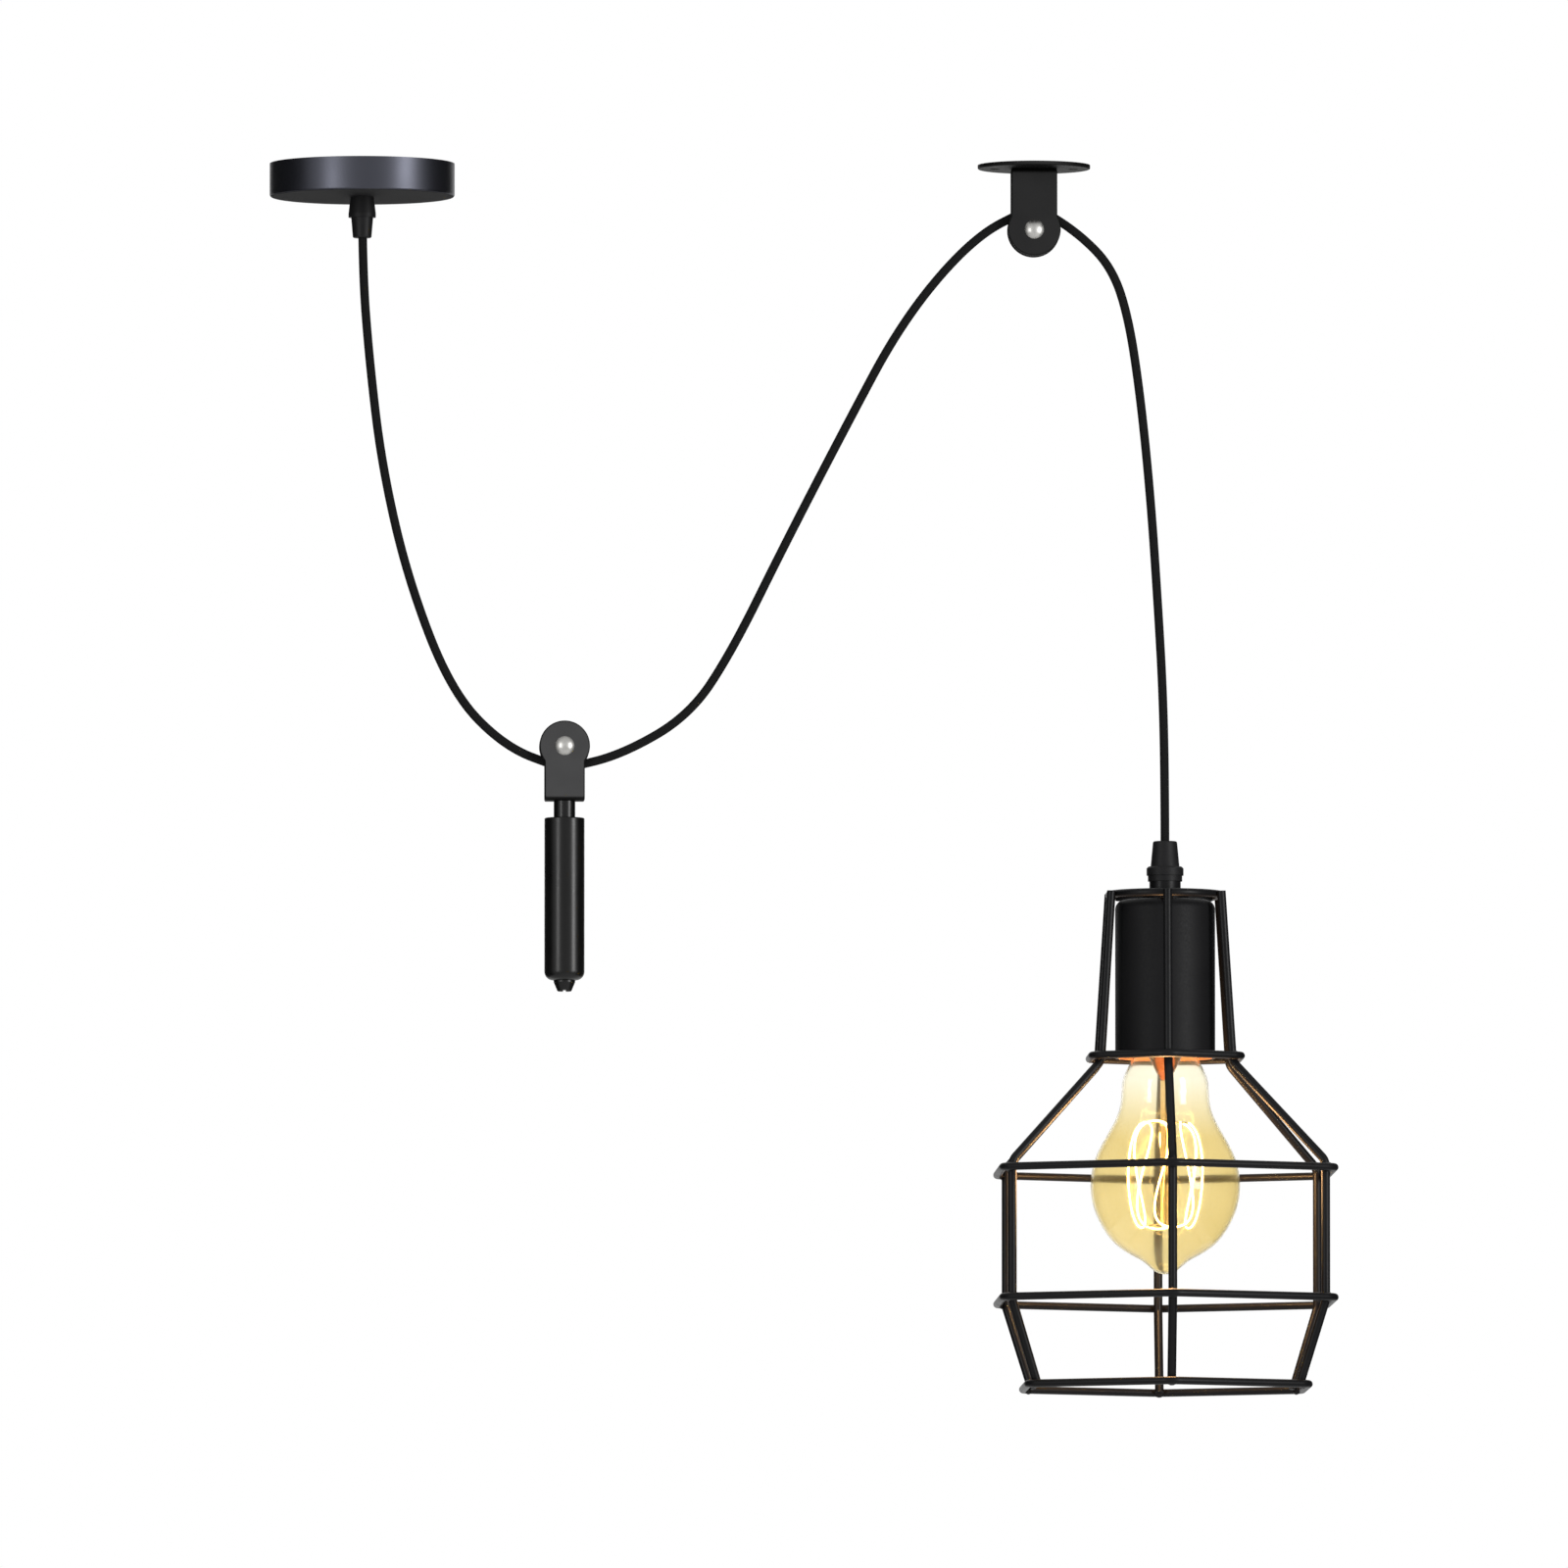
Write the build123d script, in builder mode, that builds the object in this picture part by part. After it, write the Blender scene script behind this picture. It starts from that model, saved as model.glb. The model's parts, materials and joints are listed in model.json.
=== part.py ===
from build123d import *
import os
from math import atan2, cos, degrees, pi, radians, sin, tan

# A rise-and-fall ceiling lamp. Millimetres, +Z up, +X to the right of the front view, -Y towards the viewer.
# The origin is the middle of the mounting bar's ceiling face, and the ceiling is the plane z = 0.

# Clearances
thread_gap = 0.05
running_gap = 0.05
face_gap = 0.1
pass_gap = 0.15
cord_gap = 0.3
bulb_gap = 0.3
weld_sink = 0.2

# Where the hanging pieces are, in the front view
weight_x = 82.8
weight_axle_z = -238.4
ceiling_wheel_x = 274.6
ceiling_axle_z = -26.6
lamp_x = 328.0
lamp_top = -276.8

# Cord and its inner wires
cord_diameter = 3.6
wire_diameter = 1.2
wire_offset = 0.9
wire_bend_share = 0.6

# Canopy and mounting bar
canopy_diameter = 75.6
canopy_depth = 13.6
canopy_wall = 1.2
canopy_edge = 1.0
bar_length = 64.0
bar_width = 14.0
bar_thickness = 1.5
bar_room = 0.6
bar_step = 24.0
slot_spacing = 44.0
slot_length = 10.0
slot_width = 4.4
block_tab = 18.0
earth_tab = 8.0
tab_width = 16.0

# Canopy nipple, nut and cord grip
canopy_nipple_diameter = 7.0
canopy_nipple_show = 0.8
canopy_nipple_grip = 4.4
canopy_nut_width = 11.0
canopy_nut_height = 2.5
canopy_grip_length = 8.4
canopy_grip_top_diameter = 9.6
canopy_grip_collar_diameter = 11.2
canopy_grip_collar_height = 1.6
canopy_cap_length = 8.4
canopy_cap_wide_diameter = 9.0
canopy_cap_narrow_diameter = 7.6
spigot_gap = 0.4
grip_edge = 0.7

# Terminal block and earth screw
block_length = 14.0
block_width = 9.0
block_height = 5.4
block_pitch = 7.0
tunnel_diameter = 2.4
clamp_screw_diameter = 2.2
clamp_screw_length = 1.6
earth_screw_diameter = 3.0
earth_head_diameter = 5.6
earth_head_height = 1.6

# Ceiling plate and rivet
plate_diameter = 46.0
plate_thickness = 1.6
plate_edge = 0.5
plate_hole_spacing = 32.0
plate_hole_diameter = 4.2
rivet_diameter = 4.0
rivet_sink = 1.0
rivet_head_diameter = 7.0
rivet_head_height = 1.6

# Yokes
strap_thickness = 1.6
strap_bend = 0.6
strap_edge = 0.7
ceiling_strap_width = 18.8
ceiling_eye_diameter = 21.6
weight_strap_width = 16.4
weight_eye_diameter = 20.6
weight_yoke_height = 22.4

# Wheels and axles
wheel_width = 7.0
wheel_flange_diameter = 19.2
wheel_groove_diameter = 13.4
wheel_rim = 0.6
axle_diameter = 5.0
axle_head_diameter = 7.8
axle_head_height = 1.8
axle_tail = 1.8
axle_cap_diameter = 7.6
axle_cap_height = 2.6
washer_diameter = 10.0
washer_thickness = 0.6

# Counterweight
rod_stud_diameter = 4.0
rod_stud_show = 0.6
rod_nut_width = 7.0
rod_nut_height = 3.2
rod_shoulder_diameter = 8.8
rod_shoulder_height = 6.8
rod_core_diameter = 6.0
weight_diameter = 16.4
weight_length = 66.4
weight_top_edge = 0.6
weight_bottom_edge = 3.6
end_nut_diameter = 8.8
end_nut_tip_diameter = 5.6
end_nut_band = 0.8
end_nut_edge = 0.6
end_nut_thread = 3.0
end_nut_floor = 1.6
end_nut_slot = 1.2

# Lamp grip, nipple and collar
lamp_cap_length = 10.4
lamp_cap_narrow_diameter = 9.8
lamp_cap_wide_diameter = 11.8
lamp_grip_length = 6.0
lamp_grip_diameter = 14.0
lamp_grip_collar_diameter = 15.1
lamp_grip_collar_height = 3.6
lamp_nipple_diameter = 10.0
lamp_nipple_bore = 5.2
lamp_nipple_grip = 3.6
lamp_nipple_below = 6.0
collar_diameter = 12.8
collar_height = 5.6

# Lampholder cup and lampholder
cup_length = 64.8
cup_wall = 1.2
cup_room = 2.8
holder_side = 2.45
holder_cap_height = 18.0
holder_top_thickness = 3.0
holder_wall = 2.0
holder_length = 38.0
holder_floor = 6.0
shell_wall = 0.5
shell_flange = 6.0
contact_drop = 7.5
contact_width = 4.0
contact_thickness = 0.6
contact_reach = 5.0
terminal_spacing = 18.0
terminal_screw_diameter = 3.4
terminal_screw_height = 3.0

# Cage
rib_diameter = 3.6
ring_diameter = 3.2
rib_bend = 6.0
ring_bend = 7.0
spider_thickness = 2.0
spider_hub_diameter = 19.0
spider_arm_width = 5.0
top_ring_radius = 22.8
rib_stand = 1.0
rib_neck_radius = 31.0
rib_shoulder_radius = 73.6
rib_bottom_radius = 61.7
rib_neck_drop = 90.7
rib_shoulder_drop = 132.2
rib_waist_drop = 188.8
cage_depth = 222.8

# Bulb
bulb_diameter = 61.0
bulb_neck_diameter = 34.4
bulb_wall = 0.8
bulb_cap_diameter = 26.2
bulb_cap_length = 22.0
bulb_cap_wall = 0.5
bulb_contact_diameter = 9.6
bulb_contact_height = 1.5
bulb_insulator_diameter = 21.0
bulb_insulator_height = 3.0
bulb_belly = 58.2
bulb_reach = 35.5
stem_rod_diameter = 4.0
filament_strands = 8
filament_turn = -30.0
filament_wire = 0.7
support_wire = 0.5
filament_top_radius = 9.6
filament_mid_radius = 15.2
filament_low_radius = 11.0
filament_top = 32.0
filament_mid = 53.0
filament_low = 74.0

# Bulb outline: shares of the swell from neck to belly and of the length above the belly,
# then shares of the belly's radius and of the length below it, and the place where the round tip begins
bulb_upper = [(0.0, 0.235), (0.08, 0.413), (0.55, 0.656), (0.85, 0.795)]
bulb_lower = [(0.945, 0.27), (0.83, 0.475), (0.634, 0.678), (0.379, 0.814)]
bulb_tip_start = (0.18, 0.94)

# Cord slopes where it meets the wheels, degrees above the level, and the straight lead beside each wheel
weight_in_slope = -20.7
weight_out_slope = 13.8
ceiling_in_slope = 27.9
ceiling_out_slope = -33.0
weight_in_lead = 23.0
weight_out_lead = 22.0
ceiling_in_lead = 24.0
ceiling_out_lead = 17.0

# Corners of the cord's free runs in the front view, as shares of the way across and down between its ends
canopy_run = [(0.0, 0.152), (0.038, 0.314), (0.103, 0.492), (0.236, 0.683), (0.458, 0.873)]
middle_run = [(0.265, 0.094), (0.359, 0.212), (0.469, 0.394), (0.604, 0.607), (0.733, 0.804)]
lamp_run = [(0.558, 0.083), (0.696, 0.156), (0.798, 0.277), (0.883, 0.430),
            (0.942, 0.587), (0.984, 0.718), (1.0, 0.861)]
bend_share = 0.45

# Sizes that follow
cord_radius = cord_diameter / 2
wire_radius = wire_diameter / 2
cord_hole = cord_radius + pass_gap
canopy_radius = canopy_diameter / 2
bar_drop = block_height + bar_room
bar_middle = -bar_drop
bar_under = -bar_drop - bar_thickness
canopy_nipple_bore = cord_diameter + 2 * cord_gap
canopy_nipple_top = bar_middle + canopy_nipple_show
canopy_grip_end = -canopy_depth - canopy_grip_length
canopy_cap_end = canopy_grip_end - canopy_cap_length
canopy_nipple_end = -canopy_depth - canopy_nipple_grip
wheel_room = wheel_width + 2 * (washer_thickness + face_gap)
yoke_half = wheel_room / 2 + strap_thickness
rivet_top_diameter = rivet_diameter + 2 * rivet_sink
axle_radius = axle_diameter / 2
cord_on_wheel = wheel_groove_diameter / 2 + cord_gap + cord_radius
weight_web_z = weight_axle_z - weight_yoke_height
rod_shoulder_z = weight_web_z - rod_shoulder_height
weight_end = rod_shoulder_z - weight_length
lamp_cap_end = lamp_top - lamp_cap_length
lamp_grip_end = lamp_cap_end - lamp_grip_length
collar_end = lamp_grip_end - collar_height
cup_top = collar_end - spider_thickness
cup_mouth = cup_top - cup_length
holder_top = cup_top - cup_wall
shell_bore = bulb_cap_diameter + 2 * bulb_gap
shell_radius = shell_bore / 2 + shell_wall
holder_radius = shell_radius + thread_gap + holder_side
cup_edge = cup_room + cup_wall
cup_radius = holder_radius + cup_edge
holder_split = holder_top - holder_cap_height
holder_end = holder_split - holder_length
holder_floor_z = holder_split - holder_floor
lamp_nipple_top = lamp_grip_end + lamp_nipple_grip
lamp_cord_end = lamp_grip_end
lamp_nipple_end = holder_top - lamp_nipple_below
bulb_top = holder_floor_z - contact_drop
bulb_cap_top = bulb_top - bulb_contact_height - bulb_insulator_height
bulb_cap_end = bulb_cap_top - bulb_cap_length
bulb_belly_z = bulb_cap_end - bulb_belly
bulb_tip = bulb_belly_z - bulb_reach
rib_neck_z = lamp_top - rib_neck_drop
rib_shoulder_z = lamp_top - rib_shoulder_drop
rib_waist_z = lamp_top - rib_waist_drop
bottom_ring_z = lamp_top - cage_depth

os.makedirs("parts", exist_ok=True)


def upright(x):
    """The vertical axis through x on the front plane."""
    return Axis((x, 0, 0), (0, 0, 1))


def crosswise(x, z):
    """The axis that runs from the viewer through x and z."""
    return Axis((x, 0, z), (0, 1, 0))


def front_plane(x, z=0):
    """The upright plane that faces the viewer, with its local axes along X and Z."""
    return Plane(origin=(x, 0, z), x_dir=(1, 0, 0), z_dir=(0, -1, 0))


def outline(plane, corners):
    """A face with straight sides, from its corners on a plane."""
    with BuildSketch(plane) as face:
        with BuildLine():
            Polyline(*corners, close=True)
        make_face()
    return face.sketch


def lathe(x, corners):
    """A face of (radius, height) corners, to be turned about the vertical axis through x."""
    return outline(front_plane(x), corners)


def lathe_across(x, z, corners):
    """A face of (radius, depth) corners, to be turned about the axis from the viewer through x and z."""
    return outline(Plane(origin=(x, 0, z), x_dir=(1, 0, 0), z_dir=(0, 0, 1)), corners)


def ring_face(x, inner, outer, high, low):
    """The face of a plain sleeve between two heights."""
    return lathe(x, [(inner, high), (outer, high), (outer, low), (inner, low)])


def write_piece(piece, label):
    """Labels a finished piece and writes it."""
    piece.part.label = label
    export_step(piece.part, f"parts/{label}.step")


# Canopy cup: a shallow sheet cup with its rim on the ceiling
with BuildPart() as canopy_cup:
    canopy_inner = canopy_radius - canopy_wall
    canopy_floor = canopy_wall - canopy_depth
    revolve(lathe(0, [(canopy_nipple_diameter / 2 + pass_gap, -canopy_depth), (canopy_radius, -canopy_depth),
                      (canopy_radius, 0), (canopy_inner, 0), (canopy_inner, canopy_floor),
                      (canopy_nipple_diameter / 2 + pass_gap, canopy_floor)]), axis=upright(0))
    low_rims = canopy_cup.edges().filter_by(GeomType.CIRCLE).group_by(Axis.Z)[0]
    fillet(low_rims.sort_by(SortBy.RADIUS)[-1], canopy_edge)
write_piece(canopy_cup, "canopy_cup")

# Mounting bar: its ends lie on the ceiling, its middle is stepped down and has a tab to each side
with BuildPart() as mounting_bar:
    with BuildSketch(front_plane(0)):
        with Locations((0, (bar_middle + bar_under) / 2)):
            Rectangle(bar_step, bar_thickness)
        for side in (-1, 1):
            with Locations((side * (bar_step - bar_thickness) / 2, bar_under / 2)):
                Rectangle(bar_thickness, -bar_under)
            end_length = (bar_length - bar_step) / 2 + bar_thickness
            with Locations((side * (bar_length - end_length) / 2, -bar_thickness / 2)):
                Rectangle(end_length, bar_thickness)
    extrude(amount=bar_width / 2, both=True)
    with BuildSketch(Plane.XY.offset(bar_under)):
        with Locations((0, (block_tab - earth_tab) / 2)):
            Rectangle(tab_width, bar_width + block_tab + earth_tab)
    extrude(amount=bar_thickness)
    with BuildSketch(Plane.XY.offset(-bar_thickness)):
        with Locations((-slot_spacing / 2, 0), (slot_spacing / 2, 0)):
            SlotOverall(slot_length, slot_width)
    extrude(amount=bar_thickness, mode=Mode.SUBTRACT)
    with Locations((0, 0, bar_middle)):
        Hole(canopy_nipple_diameter / 2 + thread_gap, depth=bar_thickness)
    earth_y = -(bar_width + earth_tab) / 2
    with Locations((0, earth_y, bar_middle)):
        Hole(earth_screw_diameter / 2 + thread_gap, depth=bar_thickness)
write_piece(mounting_bar, "mounting_bar")

# Hollow nipple through the bar and the canopy's floor, and the nut that locks it
with BuildPart() as canopy_nipple:
    revolve(ring_face(0, canopy_nipple_bore / 2, canopy_nipple_diameter / 2,
                      canopy_nipple_top, canopy_nipple_end), axis=upright(0))
write_piece(canopy_nipple, "canopy_nipple")

with BuildPart() as canopy_locknut:
    with BuildSketch(Plane.XY.offset(bar_under - canopy_nut_height)):
        RegularPolygon(canopy_nut_width / 2, 6, major_radius=False)
        Circle(canopy_nipple_diameter / 2 + thread_gap, mode=Mode.SUBTRACT)
    extrude(amount=canopy_nut_height)
write_piece(canopy_locknut, "canopy_locknut")

# Canopy cord grip: a flared body under the canopy and a tapered cap with a spigot in the body's bore
canopy_bore = canopy_nipple_diameter / 2 + thread_gap
canopy_collar_top = canopy_grip_end + canopy_grip_collar_height
with BuildPart() as canopy_grip_body:
    revolve(lathe(0, [(canopy_bore, -canopy_depth), (canopy_grip_top_diameter / 2, -canopy_depth),
                      (canopy_grip_collar_diameter / 2, canopy_collar_top),
                      (canopy_grip_collar_diameter / 2, canopy_grip_end), (canopy_bore, canopy_grip_end)]),
            axis=upright(0))
write_piece(canopy_grip_body, "canopy_grip_body")

with BuildPart() as canopy_grip_cap:
    spigot_top = canopy_nipple_end - spigot_gap
    spigot_radius = canopy_bore - pass_gap
    revolve(lathe(0, [(cord_hole, spigot_top), (spigot_radius, spigot_top), (spigot_radius, canopy_grip_end),
                      (canopy_cap_wide_diameter / 2, canopy_grip_end),
                      (canopy_cap_narrow_diameter / 2, canopy_cap_end), (cord_hole, canopy_cap_end)]),
            axis=upright(0))
    fillet(canopy_grip_cap.edges().group_by(Axis.Z)[0].sort_by(SortBy.RADIUS)[-1], grip_edge)
write_piece(canopy_grip_cap, "canopy_grip_cap")

# Terminal block on the bar's tab, with one tunnel and two clamp screws for each wire
block_y = bar_width / 2 + block_tab - block_width / 2
block_top = bar_middle + block_height
tunnel_z = bar_middle + block_height / 2
screw_rows = [-block_width / 4, block_width / 4]
with BuildPart() as terminal_block:
    with Locations((0, block_y, tunnel_z)):
        Box(block_length, block_width, block_height)
    with BuildSketch(Plane(origin=(0, block_y, tunnel_z), x_dir=(1, 0, 0), z_dir=(0, -1, 0))):
        with GridLocations(block_pitch, 1, 2, 1):
            Circle(tunnel_diameter / 2)
    extrude(amount=block_width / 2, both=True, mode=Mode.SUBTRACT)
    with BuildSketch(Plane.XY.offset(block_top)):
        with Locations((0, block_y)):
            with GridLocations(block_pitch, block_width / 2, 2, 2):
                Circle(clamp_screw_diameter / 2 + thread_gap)
    extrude(amount=-block_height / 2, mode=Mode.SUBTRACT)
write_piece(terminal_block, "terminal_block")

with BuildPart() as terminal_screws:
    with BuildSketch(Plane.XY.offset(block_top - clamp_screw_length)):
        with Locations((0, block_y)):
            with GridLocations(block_pitch, block_width / 2, 2, 2):
                Circle(clamp_screw_diameter / 2)
    extrude(amount=clamp_screw_length)
write_piece(terminal_screws, "terminal_screws")

# Earth screw, whose head holds its wire at the level of the block's tunnels
with BuildPart() as earth_screw:
    earth_head_z = tunnel_z + wire_radius
    with Locations((0, earth_y, bar_under)):
        Cylinder(earth_screw_diameter / 2, earth_head_z - bar_under,
                 align=(Align.CENTER, Align.CENTER, Align.MIN))
    with Locations((0, earth_y, earth_head_z)):
        Cylinder(earth_head_diameter / 2, earth_head_height, align=(Align.CENTER, Align.CENTER, Align.MIN))
write_piece(earth_screw, "earth_screw")


def bent_wire(start, level, end):
    """One inner wire: up or down from its start to a level, then along it to end's x and y."""
    course = Vector(end[0] - start[0], end[1] - start[1], 0)
    side = Plane(origin=start, x_dir=course, z_dir=course.cross(Vector(0, 0, 1)))
    rise = level - start[2]
    bend = min(abs(rise), course.length) * wire_bend_share
    with BuildPart() as wire:
        with BuildLine(side) as route:
            FilletPolyline((0, 0), (0, rise), (course.length, rise), radius=bend)
        with BuildSketch(Plane(origin=start, z_dir=(0, 0, rise))):
            Circle(wire_radius)
        sweep(path=route.line)
    return wire.part


# Live, neutral and earth wires, from the cord's cut end to the block and to the earth screw
canopy_ends = [
    ((-wire_offset, wire_offset / 2), (-block_pitch / 2, block_y - block_width / 4)),
    ((wire_offset, wire_offset / 2), (block_pitch / 2, block_y - block_width / 4)),
    ((0, -wire_offset), (0, earth_y + earth_screw_diameter / 2)),
]
canopy_wire_solids = [bent_wire((*foot, canopy_nipple_top), tunnel_z, end) for foot, end in canopy_ends]
with BuildPart() as canopy_wires:
    add(canopy_wire_solids)
write_piece(canopy_wires, "canopy_wires")

# Ceiling plate with two screw holes and a countersunk hole for the rivet
with BuildPart() as ceiling_plate:
    with BuildSketch(Plane.XY.offset(-plate_thickness)):
        with Locations((ceiling_wheel_x, 0)):
            Circle(plate_diameter / 2)
            with GridLocations(plate_hole_spacing, 1, 2, 1):
                Circle(plate_hole_diameter / 2, mode=Mode.SUBTRACT)
    extrude(amount=plate_thickness)
    fillet(ceiling_plate.edges().group_by(Axis.Z)[0].sort_by(SortBy.RADIUS)[-1], plate_edge)
    rivet_hole = rivet_diameter / 2 + thread_gap
    revolve(lathe(ceiling_wheel_x, [(0, 0), (rivet_top_diameter / 2 + thread_gap, 0),
                                    (rivet_hole, -rivet_sink), (rivet_hole, -plate_thickness),
                                    (0, -plate_thickness)]),
            axis=upright(ceiling_wheel_x), mode=Mode.SUBTRACT)
write_piece(ceiling_plate, "ceiling_plate")


def make_yoke(x, axle_z, web_z, strap_width, eye_diameter, web_hole):
    """A strap bent to a U with a rounded rim: a web with a hole, and two cheeks whose eyes hold the axle."""
    height = abs(web_z - axle_z)
    outer_bend = strap_bend + strap_thickness
    inward = 1 if axle_z > web_z else -1
    web_inner = web_z + inward * strap_thickness
    with BuildPart() as yoke:
        with BuildSketch(front_plane(x, axle_z)):
            Circle(eye_diameter / 2)
            with Locations((0, -inward * height / 2)):
                Rectangle(strap_width, height)
        extrude(amount=yoke_half, both=True)
        room_height = height + eye_diameter
        with Locations((x, 0, web_inner + inward * room_height / 2)):
            Box(2 * eye_diameter, wheel_room, room_height, mode=Mode.SUBTRACT)
        long_edges = yoke.edges().filter_by(Axis.X)
        fillet([e for e in long_edges if abs(e.center().Z - web_z) < face_gap], outer_bend)
        long_edges = yoke.edges().filter_by(Axis.X)
        fillet([e for e in long_edges if abs(e.center().Z - web_inner) < face_gap], strap_bend)
        skin_edges = yoke.edges() - yoke.edges().filter_by(Axis.X)
        rim = [e for e in skin_edges if abs(abs(e.center().Y) - yoke_half) < face_gap]
        rim += [e for e in skin_edges if abs(e.center().Z - web_z) < face_gap]
        rim += [e for e in skin_edges.filter_by(GeomType.CIRCLE) if abs(e.radius - outer_bend) < face_gap]
        fillet(rim, strap_edge)
        with BuildSketch(front_plane(x, axle_z)):
            Circle(axle_radius + thread_gap)
        extrude(amount=yoke_half, both=True, mode=Mode.SUBTRACT)
        with Locations((x, 0, (web_z + web_inner) / 2)):
            Cylinder(web_hole, strap_thickness, mode=Mode.SUBTRACT)
    return yoke


def make_wheel(x, axle_z):
    """A grooved wheel that turns on its axle."""
    half = wheel_width / 2
    flange = wheel_flange_diameter / 2
    mouth = half - wheel_rim
    bottom = cord_radius + cord_gap
    groove = wheel_groove_diameter / 2
    bore = axle_radius + running_gap
    with BuildPart() as wheel:
        revolve(lathe_across(x, axle_z, [(bore, -half), (flange, -half), (flange, -mouth), (groove, -bottom),
                                         (groove, bottom), (flange, mouth), (flange, half), (bore, half)]),
                axis=crosswise(x, axle_z))
    return wheel


def make_axle(x, axle_z):
    """An axle pin with a domed head towards the viewer and a plain tail for its retaining cap."""
    head = axle_head_diameter / 2
    with BuildPart() as axle:
        with BuildSketch(Plane(origin=(x, 0, axle_z), x_dir=(1, 0, 0), z_dir=(0, 0, 1))):
            with BuildLine():
                tail = Polyline((0, -yoke_half - axle_head_height), (0, yoke_half + axle_tail),
                                (axle_radius, yoke_half + axle_tail), (axle_radius, -yoke_half),
                                (head, -yoke_half))
                TangentArc(tail @ 0, tail @ 1, tangent=(1, 0))
            make_face()
        revolve(axis=crosswise(x, axle_z))
    return axle


def make_axle_cap(x, axle_z):
    """A cap pushed on to the axle's tail behind the back cheek."""
    back = yoke_half + axle_cap_height
    bore = axle_radius + thread_gap
    with BuildPart() as cap:
        revolve(lathe_across(x, axle_z, [(bore, yoke_half), (axle_cap_diameter / 2, yoke_half),
                                         (axle_cap_diameter / 2, back - grip_edge),
                                         (axle_cap_diameter / 2 - grip_edge, back), (0, back),
                                         (0, yoke_half + axle_tail), (bore, yoke_half + axle_tail)]),
                axis=crosswise(x, axle_z))
    return cap


def make_washers(x, axle_z):
    """Two washers that fill the room between the wheel's faces and the cheeks."""
    inner = axle_radius + thread_gap
    with BuildPart() as washers:
        for side in (-1, 1):
            near = side * (wheel_width / 2 + face_gap)
            far = side * wheel_room / 2
            revolve(lathe_across(x, axle_z, [(inner, near), (washer_diameter / 2, near),
                                             (washer_diameter / 2, far), (inner, far)]),
                    axis=crosswise(x, axle_z))
    return washers


# Ceiling yoke, its rivet, axle, cap, washers and wheel
ceiling_yoke = make_yoke(ceiling_wheel_x, ceiling_axle_z, -plate_thickness, ceiling_strap_width,
                         ceiling_eye_diameter, rivet_diameter / 2 + thread_gap)
write_piece(ceiling_yoke, "ceiling_yoke")

with BuildPart() as yoke_rivet:
    rivet_under = -plate_thickness - strap_thickness
    with BuildSketch(front_plane(ceiling_wheel_x)):
        with BuildLine():
            shank = Polyline((0, rivet_under - rivet_head_height), (0, 0), (rivet_top_diameter / 2, 0),
                             (rivet_diameter / 2, -rivet_sink), (rivet_diameter / 2, rivet_under),
                             (rivet_head_diameter / 2, rivet_under))
            TangentArc(shank @ 0, shank @ 1, tangent=(1, 0))
        make_face()
    revolve(axis=upright(ceiling_wheel_x))
write_piece(yoke_rivet, "yoke_rivet")

write_piece(make_axle(ceiling_wheel_x, ceiling_axle_z), "ceiling_axle")
write_piece(make_axle_cap(ceiling_wheel_x, ceiling_axle_z), "ceiling_axle_cap")
write_piece(make_washers(ceiling_wheel_x, ceiling_axle_z), "ceiling_washers")
write_piece(make_wheel(ceiling_wheel_x, ceiling_axle_z), "ceiling_wheel")

# Counterweight: yoke, axle, cap, washers and wheel
weight_yoke = make_yoke(weight_x, weight_axle_z, weight_web_z, weight_strap_width,
                        weight_eye_diameter, rod_stud_diameter / 2 + thread_gap)
write_piece(weight_yoke, "weight_yoke")
write_piece(make_axle(weight_x, weight_axle_z), "weight_axle")
write_piece(make_axle_cap(weight_x, weight_axle_z), "weight_axle_cap")
write_piece(make_washers(weight_x, weight_axle_z), "weight_washers")
write_piece(make_wheel(weight_x, weight_axle_z), "weight_wheel")

# Hanger rod: a stud through the yoke's web, a shoulder that shows, and a core through the weight
web_inner_z = weight_web_z + strap_thickness
rod_end = weight_end - end_nut_thread
with BuildPart() as hanger_rod:
    revolve(lathe(weight_x, [(0, web_inner_z + rod_nut_height + rod_stud_show),
                             (rod_stud_diameter / 2, web_inner_z + rod_nut_height + rod_stud_show),
                             (rod_stud_diameter / 2, weight_web_z), (rod_shoulder_diameter / 2, weight_web_z),
                             (rod_shoulder_diameter / 2, rod_shoulder_z),
                             (rod_core_diameter / 2, rod_shoulder_z),
                             (rod_core_diameter / 2, weight_end), (rod_stud_diameter / 2, weight_end),
                             (rod_stud_diameter / 2, rod_end), (0, rod_end)]), axis=upright(weight_x))
write_piece(hanger_rod, "hanger_rod")

with BuildPart() as rod_nut:
    with BuildSketch(Plane.XY.offset(web_inner_z)):
        with Locations((weight_x, 0)):
            RegularPolygon(rod_nut_width / 2, 6, major_radius=False)
            Circle(rod_stud_diameter / 2 + thread_gap, mode=Mode.SUBTRACT)
    extrude(amount=rod_nut_height)
write_piece(rod_nut, "rod_nut")

with BuildPart() as weight_body:
    revolve(ring_face(weight_x, rod_core_diameter / 2 + thread_gap, weight_diameter / 2,
                      rod_shoulder_z, weight_end), axis=upright(weight_x))
    rims = weight_body.edges().filter_by(GeomType.CIRCLE)
    fillet(rims.group_by(Axis.Z)[-1].sort_by(SortBy.RADIUS)[-1], weight_top_edge)
    rims = weight_body.edges().filter_by(GeomType.CIRCLE)
    fillet(rims.group_by(Axis.Z)[0].sort_by(SortBy.RADIUS)[-1], weight_bottom_edge)
write_piece(weight_body, "weight_body")

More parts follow.
